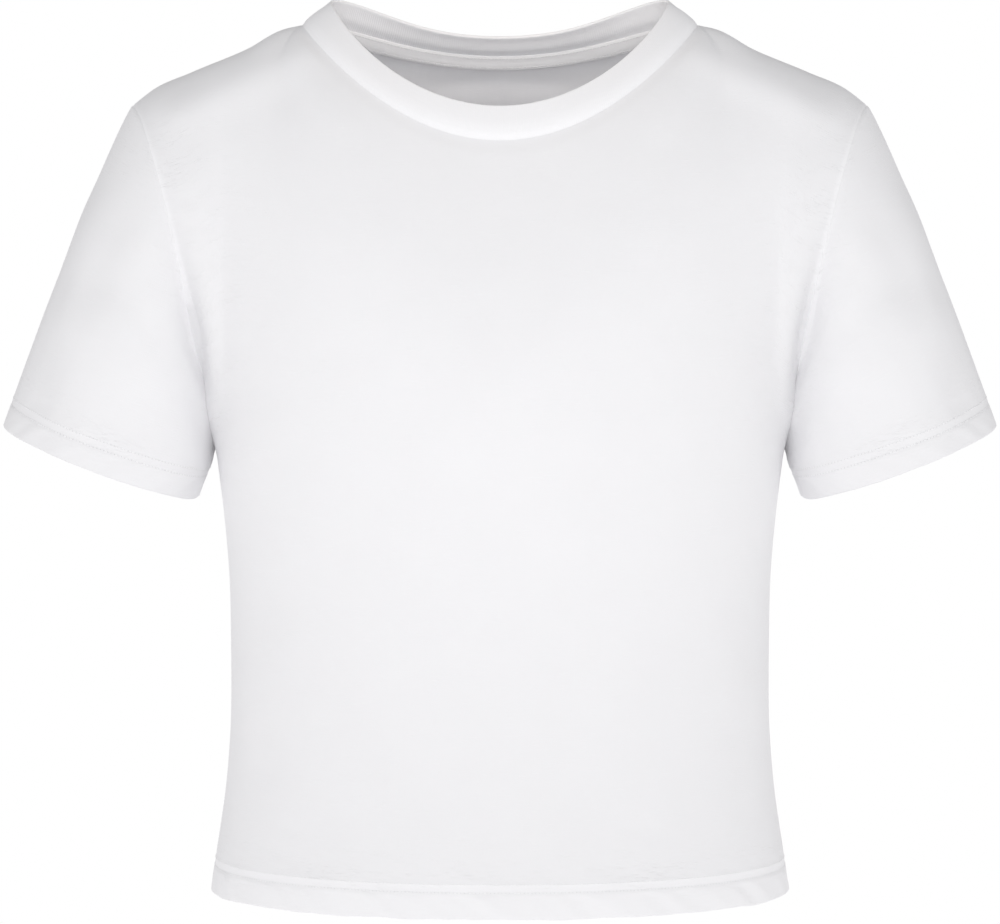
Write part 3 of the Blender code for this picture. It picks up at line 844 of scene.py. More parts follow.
    def paths(self, shares: Points) -> list[Points]:
        """The four points of each column's curve, from the underarm level to its top."""
        form = self.form
        foot = self.ring(form.underarm_z, shares)
        nearer = np.where(shares > SHARE_STEP, shares - SHARE_STEP, 2.0 * SHARE_STEP)
        beside = self.ring(form.underarm_z, nearer)
        rising = unit(foot - self.ring(form.underarm_z - TABLE_STEP, shares))
        scoop = soft_ease((shares - form.scoop_from) / (1.0 - form.scoop_from))[:, None]
        turn = np.radians(90.0 - form.scoop_rise) * scoop
        lower = np.cos(turn) * rising + np.sin(turn) * unit(beside - foot)
        lower = foot + (self.chest_reach + (form.scoop_reach - self.chest_reach) * scoop) * lower
        head, down, reach = self.tops(shares)
        return [foot, lower, head + reach[:, None] * down, head]

    def soften(self, line: Points, shares: Points, width: float) -> Points:
        """Rounds a row over a width, so the neck's corner at the shoulder leaves no ridge below it."""
        count = len(shares) - 1
        reach = int(np.ceil(3.0 * width * count))
        if reach == 0:
            return line
        weights = bell(np.arange(-reach, reach + 1), np.sqrt(2.0) * width * count)
        weights = weights / weights.sum()
        padded = np.concatenate([line[reach:0:-1] * MIRROR, line, np.repeat(line[-1:], reach, axis=0)])
        smooth = np.stack([np.convolve(padded[:, axis], weights, "valid") for axis in range(3)], axis=1)
        return line + (smooth - line) * soft_ease((1.0 - shares) / self.form.soft_edge)[:, None]

    def upper_rows(self, shares: Points) -> list[Points]:
        """Rows of half the panel above the underarm level."""
        form = self.form
        fine = np.linspace(0.0, 1.0, FINE_COLUMNS + 1)
        paths = self.paths(fine)
        rows = []
        for t in graded(form.half_round)[1:-1]:
            width = form.soft_width * ease((1.0 - t) / form.soft_from_top) * ease(t / form.soft_from_chest)
            line = self.soften(bezier(paths, t), fine, width)
            rows.append(read_line(shares, fine, line))
        return [*rows, self.tops(shares)[0]]

    def form_half(self) -> Points:
        """The +X half of the panel's outer points, rows from the hem up."""
        form, shares = self.form, self.form.shares()
        low, high = form.hem_z + HEM_THICK / 2.0, form.underarm_z
        levels = high + (low - high) * graded(high - low, USUAL, HEM_STEP, HEM_RUN)
        self.heights = levels[::-1] - form.hem_z
        self.chest_row = len(levels) - 1
        lower = [self.ring(z, shares) for z in levels[::-1]]
        return np.array(lower + self.upper_rows(shares))

    def seam_relief(self, half: Points) -> tuple[Points, Points, Points, Points]:
        """Dips and lips along the seams of half a panel, and how far points are from them.

        Args:
            half: the +X half of the outer points.

        Returns:
            Heights, distance from the side seam or armhole, from the armhole alone, and from the
            neck or shoulder seam, each rows by columns.
        """
        armhole, side = half[self.chest_row :, -1], half[: self.chest_row + 1, -1]
        from_armhole, from_side = distance_to(half, armhole), distance_to(half, side)
        from_top = lengths_along(half[::-1])[::-1]
        edge = np.minimum(from_armhole, from_side)
        top = np.where(np.arange(half.shape[1]) <= self.form.neck_columns(), NECK_DIP, SEAM_DIP)
        seams = armhole_relief(half[..., 2], edge, PANEL_RIDGE_WIDE) - top * bell(from_top, DIP_WIDE)
        by_neck = soft_ease((self.form.neck_share - self.form.shares()) / self.swell_fade)
        swell = self.neck_swell * ease(from_top / self.swell_rise)
        swell = swell * (1.0 - soft_ease((from_top - self.swell_rise) / self.swell_run))
        return seams + swell * by_neck, edge, from_armhole, from_top

    def cut_out(self) -> None:
        """Works out the panel's shell from its form, creases and hem."""
        half = self.form_half()
        seams, edge, from_armhole, from_top = (mirror_columns(grid) for grid in self.seam_relief(half))
        skin = np.concatenate([half[:, :0:-1] * MIRROR, half], axis=1)
        inside = ease(edge / CREASES_FROM_ARMHOLE) * ease(from_top / CREASES_FROM_TOP)
        relief = seams + crease_relief(self.creases, skin) * inside
        around = lengths_along(skin[0])
        heights = np.concatenate([self.heights, np.full(len(skin) - len(self.heights), self.heights[-1])])
        hem = BODY_HEM.relief(heights, around / around[-1], around[-1])
        kept = self.hem_kept + (1.0 - self.hem_kept) * ease(edge / self.hem_fade)
        relief = relief + hem * kept * ease(edge / self.hem_clear)
        drop = BODY_HEM.edge_drop(heights, around / around[-1]) * ease(edge / self.waver_clear)
        skin = skin + drop[..., None] * UP
        self.shell = Shell(skin, -self.facing, False, relief, BODY_HEM.thickness(heights)[:, None])
        height, z = heights[:, None], skin[..., 2]
        pull = bell(edge, self.pull_wide) * ease((z - self.pull_from) / self.pull_rise)
        # the ridge beside the armhole is made whiter: its two layers, and a painted highlight along its crest
        ridge = bell(from_armhole - RIDGE_OFF, RIDGE_SHOWS_WIDE)
        ridge = ridge * ease((z - RIDGE_SHOWS[0]) / RIDGE_FADE) * ease((RIDGE_SHOWS[1] - z) / RIDGE_FADE)
        double = np.maximum(BODY_HEM.doubled(height), RIDGE_WHITE_AND_HIGHLIGHT * ridge)
        double = np.maximum(double, TOP_WHITE * bell(from_top, TOP_WHITE_WIDE))
        self.shell.mark(pull=np.maximum(pull, BODY_HEM.pull(height)), double=double, height=height)

    def neck_run(self) -> Points:
        """Numbers of the columns along the neck seam, from -X to +X."""
        count = 2 * self.form.neck_columns() + 1
        return np.arange(count) + (self.shell.skin.shape[1] - count) // 2

    def build(self) -> None:
        """Makes the panel's mesh, once its seams are matched."""
        self.shell.settle()
        self.piece = self.shell.object(self.name + "_panel")
        stand_for(self.piece, self.name)

    def dress(
        self, finish: "ClothFinish", sewing: "Sewing", thread: "ThreadFinish",
        allowances: Sequence["Allowance"],
    ) -> None:
        """Gives the panel its cloth and sews its hem."""
        rows = sewing.hole_rows(self.shell, self.heights, BODY_HEM)
        self.piece.data.materials.append(finish.material(rows, " " + self.name))
        hem = sewing.hem(self.name + "_hem_stitches", self.shell, self.heights, BODY_HEM, thread)


def mirror_columns(grid: Points) -> Points:
    """A whole panel's grid of numbers from its +X half."""
    return np.concatenate([grid[:, :0:-1], grid], axis=1)


@dataclass
class Sleeve:
    """One short set-in sleeve, formed as the +X one and mirrored for the other side.

    The cuff is an oval square to the sleeve's axis, which tilts outwards and leans forwards by
    some degrees. Its inner half is fuller and its outer half slacker than an ellipse. Where the
    sleeve turns away sideways, hem_kept of the hem's relief is left; hem_white is how much whiter
    its two layers are.
    """

    side: Side
    creases_front: tuple[Crease, ...]
    creases_back: tuple[Crease, ...]
    cuff_centre: Triple = (0.2207, -0.010, -0.2407)
    cuff_half_width: float = 0.0573
    cuff_half_depth: float = 0.050
    cuff_tilt: float = 20.0
    cuff_forward: float = -2.7
    cuff_inner: float = 2.3
    cuff_outer: float = 1.7
    cuff_tall: float = 0.018
    length: float = 0.150
    flat: Pair = (0.400, 0.218)
    flat_area: float = 0.0560
    hem_kept: float = 0.3
    hem_clear: float = 0.004
    hem_white: float = 0.1
    pull_wide: float = 0.022
    # around, out, front, back, up, reach, cuff_reach
    armhole_lines: tuple[SleeveLine, ...] = (
        SleeveLine(0.00, 0.40, 0.00, 0.00, -0.92, 0.008, 0.006),
        SleeveLine(0.20, 0.35, 0.45, -0.45, -0.85, 0.022, 0.012),
        SleeveLine(0.45, 0.50, 0.50, -0.48, -0.72, 0.040, 0.030),
        SleeveLine(0.75, 0.55, 0.25, -0.22, -0.76, 0.034, 0.055),
        SleeveLine(1.00, 0.55, 0.00, 0.00, -0.83, 0.022, 0.050),
    )
    shell: Shell = field(init=False)
    heights: Points = field(init=False)
    piece: Object = field(init=False)

    def axes(self) -> tuple[Points, Points, Points]:
        """Axis of the cuff, down the arm, and the outward and backward directions square to it."""
        tilt, forward = np.radians(self.cuff_tilt), np.radians(self.cuff_forward)
        axis = unit([np.sin(tilt), -np.sin(forward), -np.cos(tilt)])
        outward = unit(np.cross(axis, [0.0, 1.0, 0.0]))
        backward = unit(np.cross(axis, outward))
        return axis, outward * np.sign(outward[0]), backward * np.sign(backward[1])

    def lines(self, edge: Points, facing: float) -> Points:
        """One side of the sleeve, rows from the cuff's fold up to the armhole.

        Args:
            edge: armhole points of the panel, from the underarm to the shoulder tip.
            facing: -1 for the front and 1 for the back.

        Returns:
            Points, rows by armhole points.
        """
        axis, outward, backward = self.axes()
        around = lengths_along(edge) / lengths_along(edge)[-1]
        turn = np.pi * around[:, None]
        power = np.where(turn < np.pi / 2.0, self.cuff_inner, self.cuff_outer)
        radius = (np.abs(np.cos(turn)) ** power + np.sin(turn) ** power) ** (-1.0 / power)
        cuff = np.array(self.cuff_centre) - radius * np.cos(turn) * self.cuff_half_width * outward
        cuff = cuff + radius * facing * np.sin(turn) * self.cuff_half_depth * backward
        hem = cuff - axis * self.cuff_tall
        columns = "out", "front" if facing < 0.0 else "back", "up", "reach", "cuff_reach"
        out, forward, up, reach, cuff_reach = (
            read_table(self.armhole_lines, "around", column, around)[:, None] for column in columns
        )
        heading = unit(np.concatenate([out, -forward, up], axis=1))
        path = edge, edge + reach * heading, hem - cuff_reach * axis, hem
        rise = graded(self.length)[:, None, None]
        straight = [cuff - axis * height for height in self.heights[self.heights < self.cuff_tall]]
        return np.concatenate([straight, bezier(path, 1.0 - rise)])

    def cut_out(self, front: BodyPanel, back: BodyPanel) -> None:
        """Works out the sleeve's shell between the armhole edges of the two panels."""
        low = HEM_THICK / 2.0
        straight = np.arange(low, self.cuff_tall - HEM_STEP / 2.0, HEM_STEP)
        cap = self.cuff_tall + self.length * graded(self.length)
        self.heights = np.concatenate([straight, cap])
        front_half, back_half = (
            self.lines(panel.shell.skin[panel.chest_row :, -1], panel.facing) for panel in (front, back)
        )
        skin = np.concatenate([front_half, back_half[:, -2:0:-1]], axis=1)
        columns = front_half.shape[1]
        from_armhole = lengths_along(skin[::-1])[::-1]
        inside = ease(from_armhole / CREASES_FROM_ARMHOLE)
        frontal = np.abs(grid_normals(skin, 1.0, True)[..., 1])
        relief = armhole_relief(skin[-1, :, 2], from_armhole, SLEEVE_RIDGE_WIDE)
        halves = slice(None, columns), slice(columns, None)
        for half, creases in zip(halves, (self.creases_front, self.creases_back)):
            relief[:, half] += crease_relief(creases, skin[:, half], self.side) * inside[:, half]
        ring = np.concatenate([skin[0], skin[0, :1]])
        around = lengths_along(ring)
        share = around[:-1] / around[-1]
        from_fold = lengths_along(skin) + HEM_THICK / 2.0
        low_row = np.minimum(self.heights, from_fold.min(axis=1))
        kept = self.hem_kept + (1.0 - self.hem_kept) * frontal
        hem = CUFF_HEM.relief(low_row, share, around[-1]) * kept
        relief = relief + hem * ease(from_armhole / self.hem_clear)
        drop = CUFF_HEM.edge_drop(self.heights, share)
        skin = skin + drop[..., None] * UP
        self.shell = Shell(skin, 1.0, True, relief, CUFF_HEM.thickness(self.heights)[:, None])
        height = self.heights[:, None]
        pull = np.maximum(bell(from_armhole, self.pull_wide), CUFF_HEM.pull(height))
        self.shell.mark(pull=pull, double=self.hem_white * CUFF_HEM.doubled(height), height=height)

    def build(self) -> None:
        """Makes the sleeve's mesh, once its seam is matched."""
        self.shell.settle()
        self.piece = self.shell.object(f"{self.side.word}_sleeve", self.side.mirror)
        stand_for(self.piece, f"sleeve_{self.side.word}")

    def dress(
        self, finish: "ClothFinish", sewing: "Sewing", thread: "ThreadFinish",
        allowances: Sequence["Allowance"],
    ) -> None:
        """Gives the sleeve its cloth and sews its hem."""
        rows = sewing.hole_rows(self.shell, self.heights, CUFF_HEM)
        self.piece.data.materials.append(finish.material(rows, " sleeve"))
        name = f"{self.side.word}_cuff_stitches"
        hem = sewing.hem(name, self.shell, self.heights, CUFF_HEM, thread, self.side.mirror)


def seam_sides(seam: Points, mean: Points, inside: Points) -> Points:
    """Ways in the cloth from a closed seam to a piece's inside points, mitred at its bends."""
    ahead = unit(np.roll(seam, -1, axis=0) - seam)
    behind = np.roll(ahead, 1, axis=0)
    run = unit(ahead + behind)
    sides = unit(np.cross(run, mean)) / np.sum(run * ahead, axis=-1, keepdims=True)
    return sides * np.sign(np.sum((inside - seam) * sides, axis=-1, keepdims=True))


@dataclass
class Neckband:
    """The folded rib band, set into the neck seam.

    Leans are degrees from the vertical, inwards, at each panel's centre line and at the shoulder
    seam; upright takes some of it off between them. crown is how far its middle stands out, of
    which its lining has lining_crown, and roll how far the lining bulges inwards. Over turn_over
    it turns from the seam's slope to its own. Near the shoulder seams it is whiter as painted light,
    and along the neck seam it has a painted highlight, full up to the first of the two seam heights and
    fading over the second.
    """

    front: BodyPanel
    back: BodyPanel
    tall: float = 0.020
    lean_front: Triple = (22.0, 54.0, 0.0)
    lean_back: Triple = (54.0, 54.0, 34.0)
    proud: float = 0.0006
    crown: float = 0.0008
    roll: float = 0.0011
    thick: float = 0.0019
    layer: float = 0.0008
    lining_crown: float = 0.3
    roll_at: float = 0.0095
    roll_wide: float = 0.0045
    turn_over: float = 0.004
    shoulder_white: float = 0.9
    shoulder_wide: float = 0.030
    seam_white: Pair = (0.003, 0.009)
    face_steps: int = 20
    face_close: float = 0.0004
    face_run: float = 0.0015
    flat: Pair = (0.500, 0.052)
    seam: Points = field(init=False)
    rising: Points = field(init=False)
    facing: Points = field(init=False)
    mean: Points = field(init=False)
    into: Points = field(init=False)
    piece: Object = field(init=False)

    def side(self, panel: BodyPanel, leans: Triple) -> PointsPair:
        """Neck seam points and the band's rising directions along one panel, from -X to +X."""
        centre, shoulder, upright = leans
        turn = np.linspace(-np.pi / 2.0, np.pi / 2.0, 2 * panel.form.neck_columns() + 1)
        lean = centre + (shoulder - centre) * np.sin(turn) ** 2
        lean = np.radians(lean - upright * (np.sin(2.0 * turn) * np.sin(turn)) ** 2)[:, None]
        return panel.neck(turn), unit(UP * np.cos(lean) - panel.outward(turn) * np.sin(lean))

    def sew_in(self) -> None:
        """Matches the band and both panels round the neck seam."""
        columns = self.front.neck_run()
        count = len(columns)
        front_seam, front_rising = self.side(self.front, self.lean_front)
        back_seam, back_rising = self.side(self.back, self.lean_back)
        self.seam = np.concatenate([front_seam, back_seam[-2:0:-1]])
        self.rising = np.concatenate([front_rising, back_rising[-2:0:-1]])
        front, back = self.front.shell, self.back.shell
        cloth = np.concatenate([front.normals[-1, columns], back.normals[-1, columns[-2:0:-1]]])
        ends = (0, columns[0]), (count - 1, columns[-1])
        for place, column in ends:
            cloth[place] = unit(front.normals[-1, column] + back.normals[-1, column])
        self.facing = unit(seam_sides(self.seam, self.rising, self.seam + cloth))
        self.mean = unit(cloth + self.facing)
        self.into = seam_sides(self.seam, self.mean, self.seam + self.rising)
        front.meet((-1, columns), self.mean[:count], -self.into[:count])
        back.meet((-1, columns[-2:0:-1]), self.mean[count:], -self.into[count:])
        for place, column in ends:
            back.meet((-1, column), self.mean[place], -self.into[place])

    def section(self) -> PointsPair:
        """Height up the band and depth below its face, all round the folded cloth.

        Returns:
            Heights and depths of the section's points: up the face, over the fold, down the lining,
            and back between the two layers.
        """
        steps = graded(self.tall, self.tall / self.face_steps, self.face_close, self.face_run)
        heights = (self.tall - self.thick / 2.0) * (1.0 - steps[::-1])
        swell = np.sin(np.pi * heights / self.tall)
        face = -self.crown * swell + NECK_DIP * bell(heights, DIP_WIDE)
        lining = self.thick - self.lining_crown * self.crown * swell
        lining = lining + self.roll * bell(heights - self.roll_at, self.roll_wide)
        outside = self.turned(heights, face, lining, FOLD_STEPS + 3)
        within = self.turned(heights, face + self.layer, lining - self.layer, FOLD_STEPS + 1)
        return tuple(np.concatenate([there, back[::-1]]) for there, back in zip(outside, within))

    @staticmethod
    def turned(heights: Points, face: Points, lining: Points, steps: int) -> PointsPair:
        """One line of the section, up one layer, round the fold and down the other.

        Args:
            heights: heights of both layers' points.
            face: depths of the first layer's points.
            lining: depths of the second layer's points.
            steps: how finely the fold is divided.

        Returns:
            Heights and depths along the line.
        """
        middle, half = (face[-1] + lining[-1]) / 2.0, (lining[-1] - face[-1]) / 2.0
        turns = np.linspace(-np.pi / 2.0, np.pi / 2.0, steps)[1:-1]
        rises = np.concatenate([heights, heights[-1] + half * np.cos(turns), heights[::-1]])
        return rises, np.concatenate([face, middle + half * np.sin(turns), lining[::-1]])

    def build(self) -> None:
        """Makes the band's mesh."""
        foot = self.seam + self.into * SEAM_GAP / 2.0
        rises, depths = self.section()
        turned = ease(rises / self.turn_over)[:, None, None]
        way = unit(self.mean * (1.0 - turned) + self.facing * turned)
        out = self.proud * turned - depths[:, None, None]
        loops = foot + self.rising * rises[:, None, None] + way * out
        round_it = lengths_along(np.concatenate([self.seam, self.seam[:1]]))
        across = lengths_along(loops)[:, 0]
        grain = np.stack(np.broadcast_arrays(round_it[None, :], across[:, None]), axis=-1)
        # the band's ends by the shoulders are painted lighter, and its foot along the neck seam has a painted
        # highlight
        shoulder = self.shoulder_white * bell(self.seam[:, 1], self.shoulder_wide)
        start, run = self.seam_white
        double = np.maximum(1.0 - ease((rises - start) / run)[:, None], shoulder)
        self.piece = loft("neck_band", loops, grain, {"double": double}, True)
        stand_for(self.piece, "neckband")

    def dress(self, finish: "ClothFinish") -> None:
        """Gives the band its rib."""
        self.piece.data.materials.append(finish.material())


@dataclass
class Strip:
    """A narrow strip of cloth laid on the inside of a piece along a seam, such as a seam allowance.

    It starts a little away from the seam, pressed there to a share of its thickness over a share
    of its width, and its free edge lies its width further in. wedge is how much more the free edge
    stands off, full from a share of the width on.
    """

    name: str
    wide: float
    thick: float
    start: float = 0.0002
    wrap: bool = False
    steps: int = 10
    clear: float = 0.0001
    pressed: float = 0.35
    pressed_run: float = 0.12
    wedge: float = 0.0
    wedge_run: float = 0.8
    shell: Shell = field(init=False)
    piece: Object = field(init=False)

    def lay(self, lanes: Points, ways: Points, into: Points | None = None) -> None:
        """Works out the strip's shell on lanes that lead away from the seam.

        Args:
            lanes: inner points of the cloth below, lane by step.
            ways: outward normals at those points.
            into: direction square to the seam in each lane, where lanes leave it at a slant.
        """
        inner = np.zeros((self.steps + 1, len(lanes), 3))
        normals = np.zeros_like(inner)
        wanted = self.start + self.wide * np.linspace(1.0, 0.0, self.steps + 1)
        for index, (lane, way) in enumerate(zip(lanes, ways)):
            away = lengths_along(lane)
            if into is not None:
                away = np.maximum.accumulate((lane - lane[0]) @ into[index])
            inner[:, index] = read_line(wanted, away, lane)
            normals[:, index] = read_line(wanted, away, way)
        normals = unit(normals)
        shares = np.linspace(1.0, 0.0, self.steps + 1)[:, None]
        depth = self.thick * (self.pressed + (1.0 - self.pressed) * ease(shares / self.pressed_run))
        depth = np.broadcast_to(depth + self.wedge * ease(shares / self.wedge_run), inner.shape[:2])
        top = inner - normals * (self.clear + depth)[..., None]
        self.shell = Shell(top, 1.0, self.wrap, np.zeros(inner.shape[:2]), depth)
        self.shell.normals = -normals

    def line(self, share: float) -> PointsPair:
        """Points and normals along the strip's face, at a share of its width in from its free edge."""
        row = share * self.steps
        low = min(int(row), self.steps - 1)
        skin, normals, part = self.shell.skin, self.shell.normals, row - low
        return (
            skin[low] * (1.0 - part) + skin[low + 1] * part,
            unit(normals[low] * (1.0 - part) + normals[low + 1] * part),
        )

    def build(self, finish: "ClothFinish") -> None:
        """Makes the strip's mesh and gives it its cloth."""
        self.piece = self.shell.object(self.name)
        self.piece.data.materials.append(finish.material())
        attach(self.piece, BODY)


@dataclass
class NeckTape:
    """The tape over the back neck seam, from shoulder seam to shoulder seam, with two rows of stitches.

    It starts on the band's lining, over_band above the seam, and from clear_of_seam below the seam
    it lies on the panel.
    """

    back: BodyPanel
    band: Neckband
    strip: Strip = field(
        default_factory=lambda: Strip(
            "back_neck_tape", wide=0.0098, thick=0.0009, start=0.0, steps=16, wedge=0.0014
        )
    )
    over_band: float = 0.0036
    clear_of_seam: int = 4
    rows: Pair = (0.14, 0.86)
    flat: Pair = (0.275, 0.010)

    def build(self, finish: "ClothFinish") -> None:
        """Lays the tape on the inside of the band and the back panel."""
        band, columns = self.band, self.back.neck_run()
        order = -np.arange(len(columns)) % len(band.seam)
        lanes, ways = self.back.shell.lanes(slice(-self.clear_of_seam, -1 - LANES_DEEP, -1), columns)
        top = (band.seam + band.rising * self.over_band - band.facing * (band.thick - band.proud))[order]
        lanes = np.concatenate([top[:, None], lanes], axis=1)
        ways = np.concatenate([band.facing[order][:, None], ways], axis=1)
        self.strip.lay(lanes, ways)
        self.strip.build(finish)
        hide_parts("neck_tape")

    def stitch(self, sewing: "Sewing", thread: "ThreadFinish") -> None:
        """Sews the tape down along both edges."""
        paths = [sewing.spaced(*self.strip.line(row), sewing.pitch, False) for row in self.rows]
        stitches = sewing.thread("neck_tape_stitches", paths, thread)


@dataclass
class Allowance:
    """A seam allowance inside the garment: both layers turned to one side, edges overlocked."""

    name: str
    lanes: Points
    ways: Points
    into: Points | None = None
    wrap: bool = False
    wide: float = 0.0065
    thick: float = 0.0011
    needle_row: float = 0.5
    pieces: list[Object] = field(init=False, default_factory=list)

    def build(self, finish: "ClothFinish", sewing: "Sewing", thread: "ThreadFinish") -> None:
        """Lays the allowance on the inside and wraps its edge with thread."""
        strip = Strip(self.name, self.wide, self.thick, wrap=self.wrap)
        strip.lay(self.lanes, self.ways, self.into)
        strip.build(finish)
        needle, edge = strip.line(self.needle_row), strip.line(0.0)
        edge = edge[0] - edge[1] * self.thick / 2.0, edge[1]
        loops = sewing.zigzag(needle, edge, sewing.overlock_pitch, self.wrap)
        row = sewing.spaced(*needle, sewing.pitch, self.wrap)
        self.pieces = [strip.piece, sewing.thread(self.name + "_overlock", [loops, row], thread)]


class Graph:
    """Adds nodes to a node tree, with inputs given as numbers, colours or other nodes' outputs."""

    def __init__(self, tree: NodeTree) -> None:
        """Takes the tree to add to."""
        self.tree = tree

    def feed(self, node: Node, inputs: dict) -> Node:
        """Gives a node its inputs, by name or number: values, or other nodes' outputs."""
        for name, value in inputs.items():
            if isinstance(value, NodeSocket):
                self.tree.links.new(value, node.inputs[name])
            else:
                node.inputs[name].default_value = value
        return node

    def node(self, kind: str, inputs: dict | None = None, **settings: object) -> Node:
        """Adds a node.

        Args:
            kind: the node's type, without "ShaderNode".
            inputs: values or sockets by input name or number.
            settings: properties of the node itself.

        Returns:
            The new node.
        """
        node = self.tree.nodes.new("ShaderNode" + kind)
        for name, value in settings.items():
            setattr(node, name, value)
        return self.feed(node, inputs or {})

    def math(self, operation: str, *values: NodeSocket | float) -> NodeSocket:
        """Adds a Math node and returns its output."""
        return self.node("Math", dict(enumerate(values)), operation=operation).outputs[0]

    def group(self, name: str, inputs: dict) -> Node:
        """Places one of the shared node groups, built the first time it is asked for."""
        tree = bpy.data.node_groups.get(name) or GROUPS[name](name)
        return self.node("Group", inputs, node_tree=tree)

    def put_out(self, outputs: dict) -> NodeTree:
        """Ends a node group: joins sockets to its outputs, and returns the group."""
        self.feed(self.tree.nodes.new("NodeGroupOutput"), outputs)
        return self.tree


def new_group(name: str, inputs: dict[str, str], outputs: dict[str, str]) -> tuple[Graph, dict]:
    """Makes an empty shader node group.

    Args:
        name: the group's name.
        inputs: socket kind ("Float", "Vector" or "Color") by input name.
        outputs: the same for the outputs.

    Returns:
        Its graph, and its input sockets by name.
    """
    tree = bpy.data.node_groups.new(name, "ShaderNodeTree")
    for way, sockets in (("INPUT", inputs), ("OUTPUT", outputs)):
        for label, kind in sockets.items():
            tree.interface.new_socket(label, in_out=way, socket_type="NodeSocket" + kind)
    start = tree.nodes.new("NodeGroupInput")
    return Graph(tree), {label: start.outputs[label] for label in inputs}


def new_material(name: str) -> tuple[Material, Graph, Node]:
    """Makes a material, and returns it with the graph of its nodes and its shader."""
    material = bpy.data.materials.new(name)
    material.use_nodes = True
    return material, Graph(material.node_tree), material.node_tree.nodes["Principled BSDF"]


def knit_group(name: str) -> NodeTree:
    """Plain knit: upright wales of slanting loops, from a place on the cloth in metres."""
    inputs = {"Place": "Vector", "Wale": "Float", "Course": "Float"}
    graph, given = new_group(name, inputs, {"Height": "Float"})
    split = graph.node("SeparateXYZ", {0: given["Place"]})
    across = graph.math("FRACT", graph.math("DIVIDE", split.outputs["X"], given["Wale"]))
    off_middle = graph.math("ABSOLUTE", graph.math("SUBTRACT", across, 0.5))
    rounded = graph.math("SUBTRACT", 1.0, graph.math("POWER", graph.math("MULTIPLY", off_middle, 2.0), 2.0))
    rise = graph.math("ADD", graph.math("DIVIDE", split.outputs["Y"], given["Course"]), off_middle)
    loop = graph.math("SINE", graph.math("MULTIPLY", rise, 2.0 * np.pi))
    height = graph.math("MULTIPLY", rounded, graph.math("MULTIPLY_ADD", loop, LOOP_SHARE, 1.0 - LOOP_SHARE))
    return graph.put_out({"Height": height})


def slub_group(name: str) -> NodeTree:
    """Slub: thicker stretches of yarn that lie across the cloth, long and thin."""
    inputs = {"Place": "Vector", "Length": "Float", "Width": "Float"}
    graph, given = new_group(name, inputs, {"Height": "Float", "Mask": "Float"})
    size = graph.node("CombineXYZ", {0: given["Length"], 1: given["Width"], 2: 1.0}).outputs[0]
    place = graph.node("VectorMath", {0: given["Place"], 1: size}, operation="DIVIDE").outputs[0]
    noise = graph.node("TexNoise", {"Vector": place, "Scale": 1.0, "Detail": 2.0, "Roughness": 0.6})
    coarse = graph.node("TexNoise", {"Vector": place, "Scale": PATCH_SCALE, "Detail": 1.0})
    thick = {"Value": noise.outputs[0], "From Min": SLUB_FROM[0], "From Max": SLUB_FROM[1]}
    mask = graph.node("MapRange", thick, interpolation_type="SMOOTHSTEP").outputs[0]
    wide = {"Value": coarse.outputs[0], "From Min": PATCH_FROM[0], "From Max": PATCH_FROM[1]}
    patches = graph.node("MapRange", wide).outputs[0]
    patches = graph.math("MULTIPLY_ADD", patches, PATCH_SHARE, 1.0 - PATCH_SHARE)
    mask = graph.math("MULTIPLY", mask, patches)
    fuzz = graph.math("MULTIPLY", noise.outputs[0], SLUB_FUZZ)
    return graph.put_out({"Height": graph.math("ADD", mask, fuzz), "Mask": mask})


def rib_group(name: str) -> NodeTree:
    """One-by-one rib: narrow raised wales with gaps between them."""
    graph, given = new_group(name, {"Place": "Vector", "Wale": "Float"}, {"Height": "Float"})
    split = graph.node("SeparateXYZ", {0: given["Place"]})
    turn = graph.math("MULTIPLY", graph.math("DIVIDE", split.outputs["X"], given["Wale"]), np.pi)
    wale = graph.math("ABSOLUTE", graph.math("SINE", turn))
    return graph.put_out({"Height": graph.math("POWER", wale, RIB_POWER)})


def tint_group(name: str) -> NodeTree:
    """Uneven white: soft cloudy tone, whiter slubs, whiter two-layer cloth and painted light, and painted
    shade in the needle holes.
    """
    inputs = {"Colour": "Color", "Place": "Vector"}
    inputs |= dict.fromkeys(("Slub", "Double", "Hole", "Cloud"), "Float")
    graph, given = new_group(name, inputs, {"Colour": "Color"})
    clouds = {"Vector": given["Place"], "Scale": CLOUD_SCALE, "Detail": 3.0, "Roughness": 0.55}
    shade = graph.math("SUBTRACT", graph.node("TexNoise", clouds).outputs[0], 0.5)
    value = graph.math("ADD", 1.0, graph.math("MULTIPLY", shade, given["Cloud"]))
    # two-layer cloth and painted light come out whiter, and needle holes darker as painted shade
    for mask, lighter in (("Slub", SLUB_TINT), ("Double", DOUBLE_AND_PAINTED_LIGHT_TINT), ("Hole", HOLE_PAINTED_SHADE)):
        value = graph.math("MULTIPLY_ADD", given[mask], lighter, value)
    tinted = graph.node("VectorMath", {0: given["Colour"], "Scale": value}, operation="SCALE")
    return graph.put_out({"Colour": tinted.outputs[0]})


def holes_group(name: str) -> NodeTree:
    """Needle holes in one row along a hem, from the place along it and the height above the fold."""
    inputs = {"Place": "Vector", **dict.fromkeys(("Height", "Row", "Start", "Pitch"), "Float")}
    graph, given = new_group(name, inputs, {"Mask": "Float"})
    split = graph.node("SeparateXYZ", {0: given["Place"]})
    along = graph.math("SUBTRACT", split.outputs["X"], given["Start"])
    beside = graph.math("PINGPONG", along, graph.math("MULTIPLY", given["Pitch"], 0.5))
    above = graph.math("SUBTRACT", given["Height"], given["Row"])
    off = graph.node("CombineXYZ", {0: beside, 1: above}).outputs[0]
    away = graph.node("VectorMath", {0: off}, operation="LENGTH").outputs["Value"]
    mask = graph.node("MapRange", {"Value": away, "From Min": HOLE_RIM, "From Max": HOLE_CORE})
    return graph.put_out({"Mask": mask.outputs[0]})


